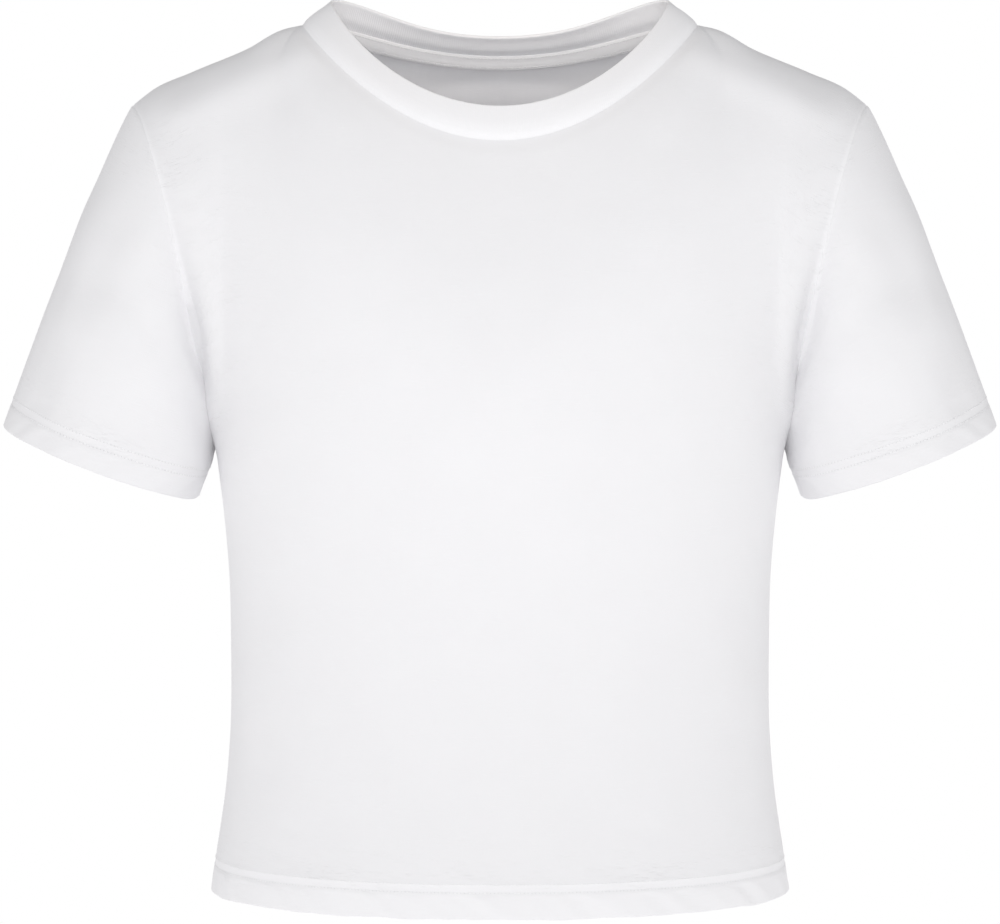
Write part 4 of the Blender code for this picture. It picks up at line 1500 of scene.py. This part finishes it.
# The node groups that the finishes share, by name
GROUPS = {
    "Plain knit": knit_group, "Slub": slub_group, "Rib": rib_group,
    "Uneven white": tint_group, "Needle holes": holes_group,
}


@dataclass(frozen=True)
class HoleRow:
    """A row of needle holes: height above the fold, start on the cloth, pitch and how much it shows."""

    height: float
    start: float
    pitch: float
    shows: float


@dataclass(frozen=True)
class ClothFinish:
    """A white knitted cotton: its colour, its knit's size and how far knit and slub stand out.

    slub_unpulled is the share of the slub's height that shows where sewing doesn't pull the cloth.
    """

    name: str
    colour: Triple = (0.86, 0.857, 0.872)
    wale: float = 0.00065
    course: float = 0.00048
    knit_tall: float = 0.00003
    slub_tall: float = 0.00013
    slub_size: Pair = (0.0075, 0.0008)
    hole_deep: float = 0.0001
    cloud: float = 0.035
    roughness: float = 0.9
    sheen: float = 0.12
    sheen_roughness: float = 0.6
    specular: float = 0.25
    slub_unpulled: float = 0.4
    ribbed: bool = False

    def material(self, rows: Sequence[HoleRow] = (), suffix: str = "") -> Material:
        """The cloth's material, made the first time it is asked for.

        Args:
            rows: rows of needle holes in this piece.
            suffix: what its name gets added, where rows make it the piece's own.

        Returns:
            The material.
        """
        name = self.name + suffix
        if name in bpy.data.materials:
            return bpy.data.materials[name]
        material, graph, shader = new_material(name)
        place = graph.node("UVMap", uv_map="grain").outputs[0]
        marks = [graph.node("Attribute", attribute_name=mark) for mark in MARKS]
        pull, double, height = (mark.outputs["Fac"] for mark in marks)
        long, wide = self.slub_size
        slub = graph.group("Slub", {"Place": place, "Length": long, "Width": wide})
        if self.ribbed:
            knit = graph.group("Rib", {"Place": place, "Wale": self.wale})
        else:
            knit = graph.group("Plain knit", {"Place": place, "Wale": self.wale, "Course": self.course})
        # needle holes are darkened in the colour: painted shade in the holes, besides their dent
        holes = 0.0
        for row in rows:
            sewn = {"Place": place, "Height": height}
            sewn |= {"Row": row.height, "Start": row.start, "Pitch": row.pitch}
            mask = graph.group("Needle holes", sewn).outputs["Mask"]
            holes = graph.math("MULTIPLY_ADD", mask, row.shows, holes)
        white = {"Colour": (*self.colour, 1.0), "Place": place, "Slub": slub.outputs["Mask"]}
        white |= {"Double": double, "Hole": holes, "Cloud": self.cloud}
        tint = graph.group("Uneven white", white)
        shown = graph.math("MULTIPLY_ADD", pull, 1.0 - self.slub_unpulled, self.slub_unpulled)
        raised = graph.math("MULTIPLY", slub.outputs["Height"], shown)
        raised = graph.math("MULTIPLY", raised, self.slub_tall)
        raised = graph.math("MULTIPLY_ADD", holes, -self.hole_deep, raised)
        coarse = graph.node("Bump", {"Height": raised, "Distance": 1.0}).outputs[0]
        fine = {"Height": knit.outputs["Height"], "Distance": self.knit_tall, "Normal": coarse}
        graph.feed(shader, {
            "Base Color": tint.outputs["Colour"], "Normal": graph.node("Bump", fine).outputs[0],
            "Roughness": self.roughness, "Sheen Weight": self.sheen,
            "Sheen Roughness": self.sheen_roughness, "Specular IOR Level": self.specular,
        })
        return material


@dataclass(frozen=True)
class ThreadFinish:
    """White sewing thread with a twist."""

    name: str = "white thread"
    colour: Triple = (0.90, 0.90, 0.91)
    twist: float = 0.0004
    twist_tall: float = 0.00002
    cloud: float = 0.04
    roughness: float = 0.7

    def material(self) -> Material:
        """The thread's material, made the first time it is asked for."""
        if self.name in bpy.data.materials:
            return bpy.data.materials[self.name]
        material, graph, shader = new_material(self.name)
        place = graph.node("TexCoord").outputs["Object"]
        turns = 1.0 / self.twist / (2.0 * np.pi)
        twist = graph.node("TexWave", {"Vector": place, "Scale": turns}, bands_direction="DIAGONAL")
        wave = twist.outputs["Fac"]
        bump = graph.node("Bump", {"Height": wave, "Distance": self.twist_tall}).outputs[0]
        white = {"Colour": (*self.colour, 1.0), "Place": place, "Slub": wave, "Cloud": self.cloud}
        tint = graph.group("Uneven white", white).outputs["Colour"]
        graph.feed(shader, {"Base Color": tint, "Normal": bump, "Roughness": self.roughness})
        return material


@dataclass
class Sewing:
    """Thread laid along seams: one stitch is modelled and copied to every span of its lines.

    Sizes are millimetres in the modelled stitch and metres elsewhere.
    """

    radius_mm: float = 0.19
    body_mm: float = 0.9
    dives_mm: tuple[Triple, ...] = ((0.30, -0.09, 0.85), (0.20, -0.26, 0.5))
    sides: int = 5
    pitch: float = 0.0020
    looper_pitch: float = 0.0026
    overlock_pitch: float = 0.0032
    looper_off: float = 0.0005
    proud: float = 0.00006
    points: Points = field(init=False)
    faces: list[list[int]] = field(init=False)

    def __post_init__(self) -> None:
        """Models the stitch, a short piece of thread whose ends dive into the cloth."""
        bpy.ops.object.select_all(action="DESELECT")
        bpy.ops.mesh.primitive_cylinder_add(
            vertices=self.sides, radius=self.radius_mm, depth=self.body_mm, rotation=(0.0, np.pi / 2.0, 0.0)
        )
        stitch = bpy.context.object
        bpy.ops.object.transform_apply(location=True, rotation=True, scale=True)
        bpy.ops.object.mode_set(mode="EDIT")
        bpy.ops.mesh.select_mode(type="FACE")
        for end in (-1.0, 1.0):
            for ahead, down, narrower in self.dives_mm:
                self.select_end(stitch, end)
                bpy.ops.mesh.extrude_region_move(
                    TRANSFORM_OT_translate={"value": (end * ahead, 0.0, down)}
                )
                middle = self.select_end(stitch, end)
                bpy.ops.transform.resize(value=(1.0, narrower, narrower), center_override=middle)
        bpy.ops.object.mode_set(mode="OBJECT")
        span = self.body_mm + 2.0 * sum(ahead for ahead, _, _ in self.dives_mm)
        corners = np.array([vert.co for vert in stitch.data.vertices])
        self.points = corners * (1.0 / span, MILLIMETRE, MILLIMETRE)
        self.faces = [list(face.vertices) for face in stitch.data.polygons]
        bpy.data.objects.remove(stitch, do_unlink=True)

    @staticmethod
    def select_end(stitch: Object, end: float) -> Vector:
        """Selects the stitch's end face on one side, and returns its middle."""
        mesh = bmesh.from_edit_mesh(stitch.data)
        last = max(mesh.faces, key=lambda face: end * face.calc_center_median().x)
        for face in mesh.faces:
            face.select_set(face is last)
        mesh.select_flush(False)
        bmesh.update_edit_mesh(stitch.data)
        return last.calc_center_median()

    def spaced(self, line: Points, ways: Points, pitch: float, closed: bool) -> PointsPair:
        """Points along a line, one stitch apart.

        Args:
            line: points of the seam.
            ways: outward normals there.
            pitch: length of a stitch.
            closed: whether the line meets itself.

        Returns:
            Places where the thread goes into the cloth, and the normals there.
        """
        if closed:
            line, ways = np.concatenate([line, line[:1]]), np.concatenate([ways, ways[:1]])
        along = lengths_along(line)
        wanted = np.linspace(0.0, along[-1], max(2, round(along[-1] / pitch)) + 1)
        return read_line(wanted, along, line), unit(read_line(wanted, along, ways))

    def zigzag(self, low: PointsPair, high: PointsPair, pitch: float, closed: bool) -> PointsPair:
        """A thread that goes to and fro between two lines, given with their normals."""
        rows = [self.spaced(*row, pitch / 2.0, closed) for row in (low, high)]
        count = min(len(rows[0][0]), len(rows[1][0]))
        odd = (np.arange(count) % 2)[:, None]
        return tuple(np.where(odd, above[:count], below[:count]) for below, above in zip(*rows))

    def hem(
        self, name: str, shell: Shell, heights: Points, hem: TurnedHem, thread: ThreadFinish,
        mirror: Points | float = 1.0,
    ) -> Object:
        """Sews a turned hem: two needle rows outside, and the looper's thread to and fro inside.

        Args:
            name: the new piece's name.
            shell: the hemmed cloth.
            heights: height of each of its rows above the fold.
            hem: the hem's sizes.
            thread: the thread's finish.
            mirror: factors for x, y and z, to sew the other side's piece.

        Returns:
            The stitches, joined.
        """
        needles = [shell.line_at(heights, row) for row in hem.rows]
        paths = [self.spaced(*needle, self.pitch, shell.wrap) for needle in needles]
        inside = [shell.line_at(heights, row, off) for row, off in zip(hem.rows, (0.0, self.looper_off))]
        paths.append(self.zigzag(*inside, self.looper_pitch, shell.wrap))
        return self.thread(name, [(points * mirror, ways * mirror) for points, ways in paths], thread)

    def hole_rows(self, shell: Shell, heights: Points, hem: TurnedHem) -> list[HoleRow]:
        """Where the needles of a turned hem go through the cloth."""
        rows = []
        for row, shows in zip(hem.rows, hem.holes):
            line, ways = shell.line_at(heights, row)
            count = len(self.spaced(line, ways, self.pitch, shell.wrap)[0]) - 1
            length = lengths_along(np.concatenate([line, line[:1]]) if shell.wrap else line)[-1]
            rows.append(HoleRow(row, 0.0 if shell.wrap else -length / 2.0, length / count, shows))
        return rows

    def thread(self, name: str, paths: Sequence[PointsPair], finish: ThreadFinish) -> Object:
        """Lays thread along paths, one stitch to each span.

        Args:
            name: the new piece's name.
            paths: points and normals of each line of thread.
            finish: the thread's finish.

        Returns:
            All the stitches, joined.
        """
        verts = []
        for points, ways in paths:
            run, middle = np.diff(points, axis=0), (points[1:] + points[:-1]) / 2.0
            up = unit(ways[1:] + ways[:-1])
            across = unit(np.cross(up, run))
            up = unit(np.cross(run, across))
            local = self.points[None, :, :, None] * np.stack([run, across, up], axis=1)[:, None]
            verts.append(local.sum(axis=2) + (middle + up * self.proud)[:, None])
        verts = np.concatenate(verts)
        starts = np.arange(len(verts)) * len(self.points)
        faces = [[start + corner for corner in face] for start in starts.tolist() for face in self.faces]
        data = bpy.data.meshes.new(name)
        data.from_pydata(verts.reshape(-1, 3).tolist(), [], faces)
        data.shade_smooth()
        data.materials.append(finish.material())
        piece = add_object(name, data)
        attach(piece, BODY)
        return piece


@dataclass
class Studio:
    """Camera, floor, soft light and the white surround."""

    target: Triple = (0.0, 0.0, -0.2417)
    distance: float = 2.5
    elevation: float = 4.0
    lens: float = 162.0
    front_power: float = 17.2
    back_power: float = 11.5
    back_z: float = -0.6
    key_size: float = 1.6
    key_away: float = 1.6
    key_z: float = 0.25
    inner_power: float = 0.021
    inner_size: Pair = (0.03, 0.02)
    inner_place: Triple = (0.0, -0.050, 0.046)
    inner_aim: Triple = (0.0, 0.75, -0.66)
    inner_colour: Triple = (1.0, 0.86, 0.73)
    tent_colour: Triple = (1.0, 0.995, 1.0)
    from_above: float = 0.12
    from_below: float = 0.66
    from_sides: float = 0.95
    sides_lean: float = 0.4
    floor_z: float = -1.4
    floor_radius: float = 4.0
    floor_colour: tuple[float, float, float, float] = (0.86, 0.86, 0.86, 1.0)
    floor_glow: float = 0.5
    floor_roughness: float = 0.9
    floor_sides: int = 96

    def camera(self) -> None:
        """Sets up the camera."""
        turn = np.radians(self.elevation)
        away = Vector((0.0, -np.cos(turn), np.sin(turn)))
        data = bpy.data.cameras.new("camera")
        data.lens = self.lens
        camera = add_object("camera", data)
        camera.location = Vector(self.target) + away * self.distance
        camera.rotation_euler = (-away).to_track_quat("-Z", "Y").to_euler()
        bpy.context.scene.camera = camera

    def lights(self) -> None:
        """Hangs one soft box in front and one behind, and a small strip of light inside the neck."""
        for name, facing, height, power in (
            ("front_box", -1.0, self.key_z, self.front_power), ("back_box", 1.0, self.back_z, self.back_power)
        ):
            data = bpy.data.lights.new(name, "AREA")
            data.energy, data.size = power, self.key_size
            place = Vector((0.0, facing * self.key_away, height))
            self.hang(name, data, place, (place - Vector(self.target)).to_track_quat("Z", "Y"))
        strip = bpy.data.lights.new("inner_strip", "AREA")
        strip.shape = "RECTANGLE"
        strip.energy, strip.color = self.inner_power, self.inner_colour
        strip.size, strip.size_y = self.inner_size
        turn = (-Vector(self.inner_aim)).to_track_quat("Z", "Y")
        self.hang("inner_strip", strip, Vector(self.inner_place), turn)

    def hang(self, name: str, data: Light, place: Vector, turn: Quaternion) -> None:
        """Puts a light in its place, out of the camera's sight.

        Args:
            name: the light's name.
            data: the lamp itself.
            place: where it hangs.
            turn: how it is turned.
        """
        light = add_object(name, data)
        light.location = place
        light.rotation_euler = turn.to_euler()
        light.visible_camera = False

    def surround(self) -> None:
        """Makes a surround that is white to the eye and lights softly from all sides."""
        world = bpy.data.worlds.new("surround")
        world.use_nodes = True
        world.node_tree.nodes.clear()
        graph = Graph(world.node_tree)
        split = graph.node("SeparateXYZ", {0: graph.node("TexCoord").outputs["Generated"]}).outputs
        above = graph.math("MULTIPLY", graph.math("MAXIMUM", split["Z"], 0.0), self.from_above)
        below = graph.math("MAXIMUM", graph.math("MULTIPLY", split["Z"], -1.0), 0.0)
        lean = graph.math("MULTIPLY_ADD", split["Z"], -self.sides_lean * self.from_sides, self.from_sides)
        sides = graph.math("MULTIPLY_ADD", graph.math("ABSOLUTE", split["X"]), lean, above)
        light = graph.math("MULTIPLY_ADD", below, self.from_below, sides)
        tent = graph.node("Background", {"Color": (*self.tent_colour, 1.0), "Strength": light})
        white = graph.node("Background", {"Color": (1.0, 1.0, 1.0, 1.0)})
        seen = graph.node("LightPath").outputs["Is Camera Ray"]
        mix = graph.node("MixShader", {0: seen, 1: tent.outputs[0], 2: white.outputs[0]})
        graph.node("OutputWorld", {"Surface": mix.outputs[0]})
        bpy.context.scene.world = world

    def floor(self) -> None:
        """Lays a pale round floor well below the garment, clear where it is seen from below."""
        bpy.ops.mesh.primitive_circle_add(
            vertices=self.floor_sides, radius=self.floor_radius, fill_type="NGON",
            location=(0.0, 0.0, self.floor_z),
        )
        floor = bpy.context.object
        floor.name = "floor"
        material, graph, pale = new_material("pale floor")
        graph.feed(pale, {
            "Base Color": self.floor_colour, "Emission Color": self.floor_colour,
            "Emission Strength": self.floor_glow, "Roughness": self.floor_roughness,
        })
        clear = graph.node("BsdfTransparent")
        under = graph.node("NewGeometry").outputs["Backfacing"]
        mix = graph.node("MixShader", {0: under, 1: pale.outputs[0], 2: clear.outputs[0]})
        graph.feed(graph.tree.nodes["Material Output"], {"Surface": mix.outputs[0]})
        floor.data.materials.append(material)
        floor.visible_diffuse = floor.visible_shadow = False
        floor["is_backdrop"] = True

    def build(self) -> None:
        """Sets up everything round the garment."""
        self.camera()
        self.lights()
        self.surround()
        self.floor()
        bpy.context.scene.view_settings.view_transform = "Standard"


def sew_sleeve(front: BodyPanel, back: BodyPanel, sleeve: Sleeve) -> None:
    """Matches one sleeve and both armhole edges along the armhole."""
    chest, rows = front.chest_row, front.shell.skin.shape[0] - front.chest_row
    edge = np.arange(rows)
    facing = [panel.shell.normals[chest:, -1] for panel in (front, back)]
    panel_normals = np.concatenate([facing[0], facing[1][-2:0:-1]])
    for end in (0, rows - 1):
        panel_normals[end] = unit(facing[0][end] + facing[1][end])
    mean = unit(panel_normals + sleeve.shell.normals[-1])
    into = seam_sides(sleeve.shell.skin[-1], mean, sleeve.shell.skin[-2])
    sleeve.shell.meet((-1, slice(None)), mean, into)
    column, mirror = -1 if sleeve.side is Side.LEFT else 0, sleeve.side.mirror
    for panel, order in ((front, edge), (back, -edge % (2 * rows - 2))):
        panel.shell.meet((chest + edge, column), mean[order] * mirror, -into[order] * mirror)


def sew_panels(front: BodyPanel, back: BodyPanel) -> None:
    """Matches the panels along the side seams and the shoulder seams."""
    chest, columns = front.chest_row, front.shell.skin.shape[1]
    low = np.arange(chest)
    for column, outward in ((-1, 1.0), (0, -1.0)):
        mean = np.tile([outward, 0.0, 0.0], (chest, 1))
        for panel in (front, back):
            inward = np.array([0.0, panel.facing, 0.0])
            panel.shell.meet((low, column), mean, np.tile(inward, (chest, 1)))
            panel.shell.shift[chest, column] += inward * SEAM_GAP / 2.0
    half = (columns - 1) // 2 - front.form.neck_columns()
    for across in (np.arange(1, half), np.arange(columns - half, columns - 1)):
        mean = unit(front.shell.normals[-1, across] + back.shell.normals[-1, across])
        for panel in (front, back):
            panel.shell.meet((-1, across), mean, np.tile([0.0, panel.facing, 0.0], (len(across), 1)))
    for column in (0, half, columns - 1 - half, -1):
        for panel in (front, back):
            panel.shell.shift[-1, column] += np.array([0.0, panel.facing, 0.0]) * SEAM_GAP / 2.0


LEFT_ONLY, RIGHT_ONLY = (Side.LEFT,), (Side.RIGHT,)

# Creases: start (x, z), end (x, z), depth, spread, and what else is unlike the usual
FRONT_CREASES = (
    # the soft fold from the underarm towards the chest
    Crease((0.150, -0.205), (0.085, -0.290), -0.0010, 0.020, bow=0.010),
    # slack below the chest, at both sides
    Crease((0.126, -0.292), (0.142, -0.365), 0.0015, 0.016),
    Crease((0.131, -0.372), (0.121, -0.418), 0.0009, 0.013),
    # pull lines from the neck
    Crease((0.036, -0.100), (0.006, -0.175), 0.0005, 0.012),
    Crease((0.112, -0.045), (0.092, -0.120), 0.0006, 0.014),
    Crease((0.106, -0.022), (0.080, -0.070), -0.0006, 0.009),
    # the roll along the shoulder
    Crease((0.090, -0.011), (0.194, -0.059), -0.0028, 0.0105, fade=0.22),
    Crease((0.173, -0.155), (0.157, -0.212), 0.0026, 0.0045, fade=0.3),
    # drags above the hem, and faint level lines
    Crease((0.043, -0.4465), (0.078, -0.4600), 0.0005, 0.0045, sides=LEFT_ONLY),
    Crease((0.094, -0.4590), (0.137, -0.4400), 0.0006, 0.0050, sides=RIGHT_ONLY),
    Crease((0.100, -0.4380), (0.120, -0.4330), 0.0004, 0.0035, sides=RIGHT_ONLY),
    Crease((0.080, -0.3765), (0.108, -0.3765), 0.0003, 0.0030, sides=RIGHT_ONLY),
    Crease((0.060, -0.4300), (0.100, -0.4360), 0.0004, 0.0050, sides=LEFT_ONLY),
    # short puckers by the armhole
    Crease((0.160, -0.098), (0.185, -0.092), 0.0004, 0.0028),
    Crease((0.150, -0.112), (0.178, -0.108), 0.0004, 0.0030, sides=RIGHT_ONLY),
    Crease((0.155, -0.118), (0.176, -0.113), 0.0004, 0.0030, sides=LEFT_ONLY),
    Crease((0.146, -0.130), (0.170, -0.128), 0.0005, 0.0032),
    Crease((0.138, -0.146), (0.166, -0.143), 0.0004, 0.0030, sides=RIGHT_ONLY),
    Crease((0.142, -0.153), (0.163, -0.150), 0.0004, 0.0030, sides=LEFT_ONLY),
    Crease((0.130, -0.172), (0.158, -0.176), 0.0005, 0.0038),
)
BACK_CREASES = (
    Crease((0.150, -0.215), (0.075, -0.320), -0.0014, 0.020, bow=0.010),
    Crease((0.128, -0.300), (0.139, -0.380), 0.0014, 0.017),
    # slack over the small of the back
    Crease((0.010, -0.322), (0.085, -0.345), 0.0012, 0.014, bow=0.006),
    Crease((0.020, -0.372), (0.100, -0.390), 0.0009, 0.012, bow=-0.005),
    Crease((0.050, -0.4450), (0.092, -0.4560), 0.0005, 0.0050, sides=RIGHT_ONLY),
    Crease((0.070, -0.4400), (0.112, -0.4530), 0.0005, 0.0050, sides=LEFT_ONLY),
    # level folds below the neck
    Crease((-0.010, -0.0285), (0.050, -0.0330), -0.0010, 0.0050, fade=0.25),
    Crease((-0.006, -0.0400), (0.056, -0.0430), 0.0010, 0.0060, fade=0.25),
    Crease((0.014, -0.052), (0.070, -0.058), 0.0006, 0.0060, sides=LEFT_ONLY),
    Crease((0.006, -0.054), (0.058, -0.056), 0.0006, 0.0060, sides=RIGHT_ONLY),
    Crease((0.112, -0.045), (0.094, -0.125), 0.0007, 0.014),
    # short puckers by the armhole
    Crease((0.158, -0.100), (0.184, -0.094), 0.0004, 0.0030),
    Crease((0.148, -0.122), (0.172, -0.118), 0.0005, 0.0032),
    Crease((0.136, -0.150), (0.166, -0.150), 0.0005, 0.0034),
)
SLEEVE_FRONT_CREASES = (
    # the edge over which the cloth turns to the outside, and the light hollow inside it
    Crease((0.219, -0.080), (0.238, -0.190), -0.0020, 0.009),
    Crease((0.206, -0.092), (0.218, -0.150), 0.0006, 0.009),
    Crease((0.216, -0.140), (0.242, -0.248), -0.0040, 0.018, fade=0.3),
    Crease((0.190, -0.115), (0.168, -0.192), 0.0016, 0.013, fade=0.3),
    # folds from the underarm up and out
    Crease((0.212, -0.128), (0.176, -0.182), 0.0013, 0.008, bow=0.002),
    Crease((0.222, -0.176), (0.172, -0.205), -0.0010, 0.010),
    Crease((0.196, -0.212), (0.166, -0.222), 0.0010, 0.007),
    # pucker above the cuff
    Crease((0.240, -0.211), (0.259, -0.205), 0.0007, 0.004),
    Crease((0.205, -0.232), (0.228, -0.222), 0.0005, 0.004),
)
SLEEVE_BACK_CREASES = (
    Crease((0.219, -0.080), (0.240, -0.192), -0.0014, 0.010),
    Crease((0.214, -0.125), (0.178, -0.182), 0.0015, 0.009, bow=0.002),
    Crease((0.222, -0.170), (0.174, -0.200), -0.0011, 0.010),
    Crease((0.198, -0.214), (0.168, -0.222), 0.0010, 0.007),
    Crease((0.214, -0.226), (0.240, -0.216), 0.0006, 0.004),
)


def inside_seams(
    front: BodyPanel, back: BodyPanel, sleeves: Sequence[Sleeve], band: Neckband
) -> dict[str, list[Allowance]]:
    """The seam allowances inside the garment, by the piece that they are turned towards.

    Args:
        front: the front panel.
        back: the back panel.
        sleeves: both sleeves.
        band: the neckband.

    Returns:
        Allowances by the name of the panel or sleeve under them.
    """
    neck = front.neck_run()
    lanes, ways = front.shell.lanes(FROM_TOP, neck)
    found = {
        "front_panel": [Allowance("front_neck_allowance", lanes, ways, -band.into[: len(neck)])],
        "back_panel": [],
    }
    for sleeve in sleeves:
        lanes, ways = (grid * sleeve.side.mirror for grid in sleeve.shell.lanes(FROM_TOP, slice(None)))
        name = f"armhole_allowance_{sleeve.side.word}"
        found[sleeve.piece.name] = [Allowance(name, lanes, ways, wrap=True)]
    last = back.shell.skin.shape[1] - 1
    upright = slice(np.searchsorted(back.heights, SIDE_ALLOWANCE_FROM), back.chest_row + 1)
    beside = np.arange(LANES_DEEP)
    shoulder = np.arange(2, last // 2 - back.form.neck_columns() - 1)
    for side in Side:
        columns = [last - line if side is Side.LEFT else line for line in (beside, shoulder)]
        lanes, ways = (grid.transpose(1, 0, 2) for grid in back.shell.lanes(upright, columns[0]))
        found["back_panel"].append(Allowance(f"side_allowance_{side.word}", lanes, ways))
        lanes, ways = back.shell.lanes(FROM_TOP, columns[1])
        found["back_panel"].append(Allowance(f"shoulder_allowance_{side.word}", lanes, ways))
    return found


def main() -> None:
    """Builds and dresses the garment piece by piece, then the studio round it."""
    form = BodyForm()
    front = BodyPanel(
        name="front", facing=-1.0, neck_deep=0.076, neck_drop=0.0635, neck_curve=1.95, neck_fan=14.0,
        lean_centre=24.0, lean_side=65.0, neck_reach=0.050, chest_reach=0.072, neck_swell=0.0009,
        creases=FRONT_CREASES, flat=(0.459, 0.525), flat_area=0.203, form=form,
    )
    back = BodyPanel(
        name="back", facing=1.0, neck_deep=0.052, neck_drop=0.0172, neck_curve=2.8, neck_fan=10.0,
        lean_centre=52.0, lean_side=65.0, neck_reach=0.055, chest_reach=0.085,
        creases=BACK_CREASES, flat=(0.459, 0.530), flat_area=0.205, form=form,
    )
    sleeves = [Sleeve(side, SLEEVE_FRONT_CREASES, SLEEVE_BACK_CREASES) for side in Side]
    band = Neckband(front, back)

    front.cut_out()
    back.cut_out()
    for sleeve in sleeves:
        sleeve.cut_out(front, back)
        sew_sleeve(front, back, sleeve)
    sew_panels(front, back)
    band.sew_in()

    jersey, thread, sewing = ClothFinish("white jersey"), ThreadFinish(), Sewing()
    for piece in (front, back, *sleeves, band):
        piece.build()
    rib = ClothFinish(
        "white rib", colour=(0.88, 0.877, 0.892), wale=0.0013, knit_tall=0.00006, slub_tall=0.00002,
        ribbed=True,
    )
    band.dress(rib)
    tape = NeckTape(back, band)
    tape.build(ClothFinish("white tape", colour=(0.965, 0.96, 0.965), wale=0.0005))
    # the tape's stitches are sewn in a darker thread: painted shade for the inside of the neck
    tape.stitch(sewing, ThreadFinish("shaded thread", colour=(0.80, 0.795, 0.80)))
    allowances = inside_seams(front, back, sleeves, band)
    for allowance in (part for parts in allowances.values() for part in parts):
        allowance.build(jersey, sewing, thread)
    for piece in (front, back, *sleeves):
        piece.dress(jersey, sewing, thread, allowances.get(piece.piece.name, []))
    Studio().build()

    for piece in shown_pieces():
        log.info("%s: %d faces", piece.name, len(piece.data.polygons))


if __name__ == "__main__":
    main()
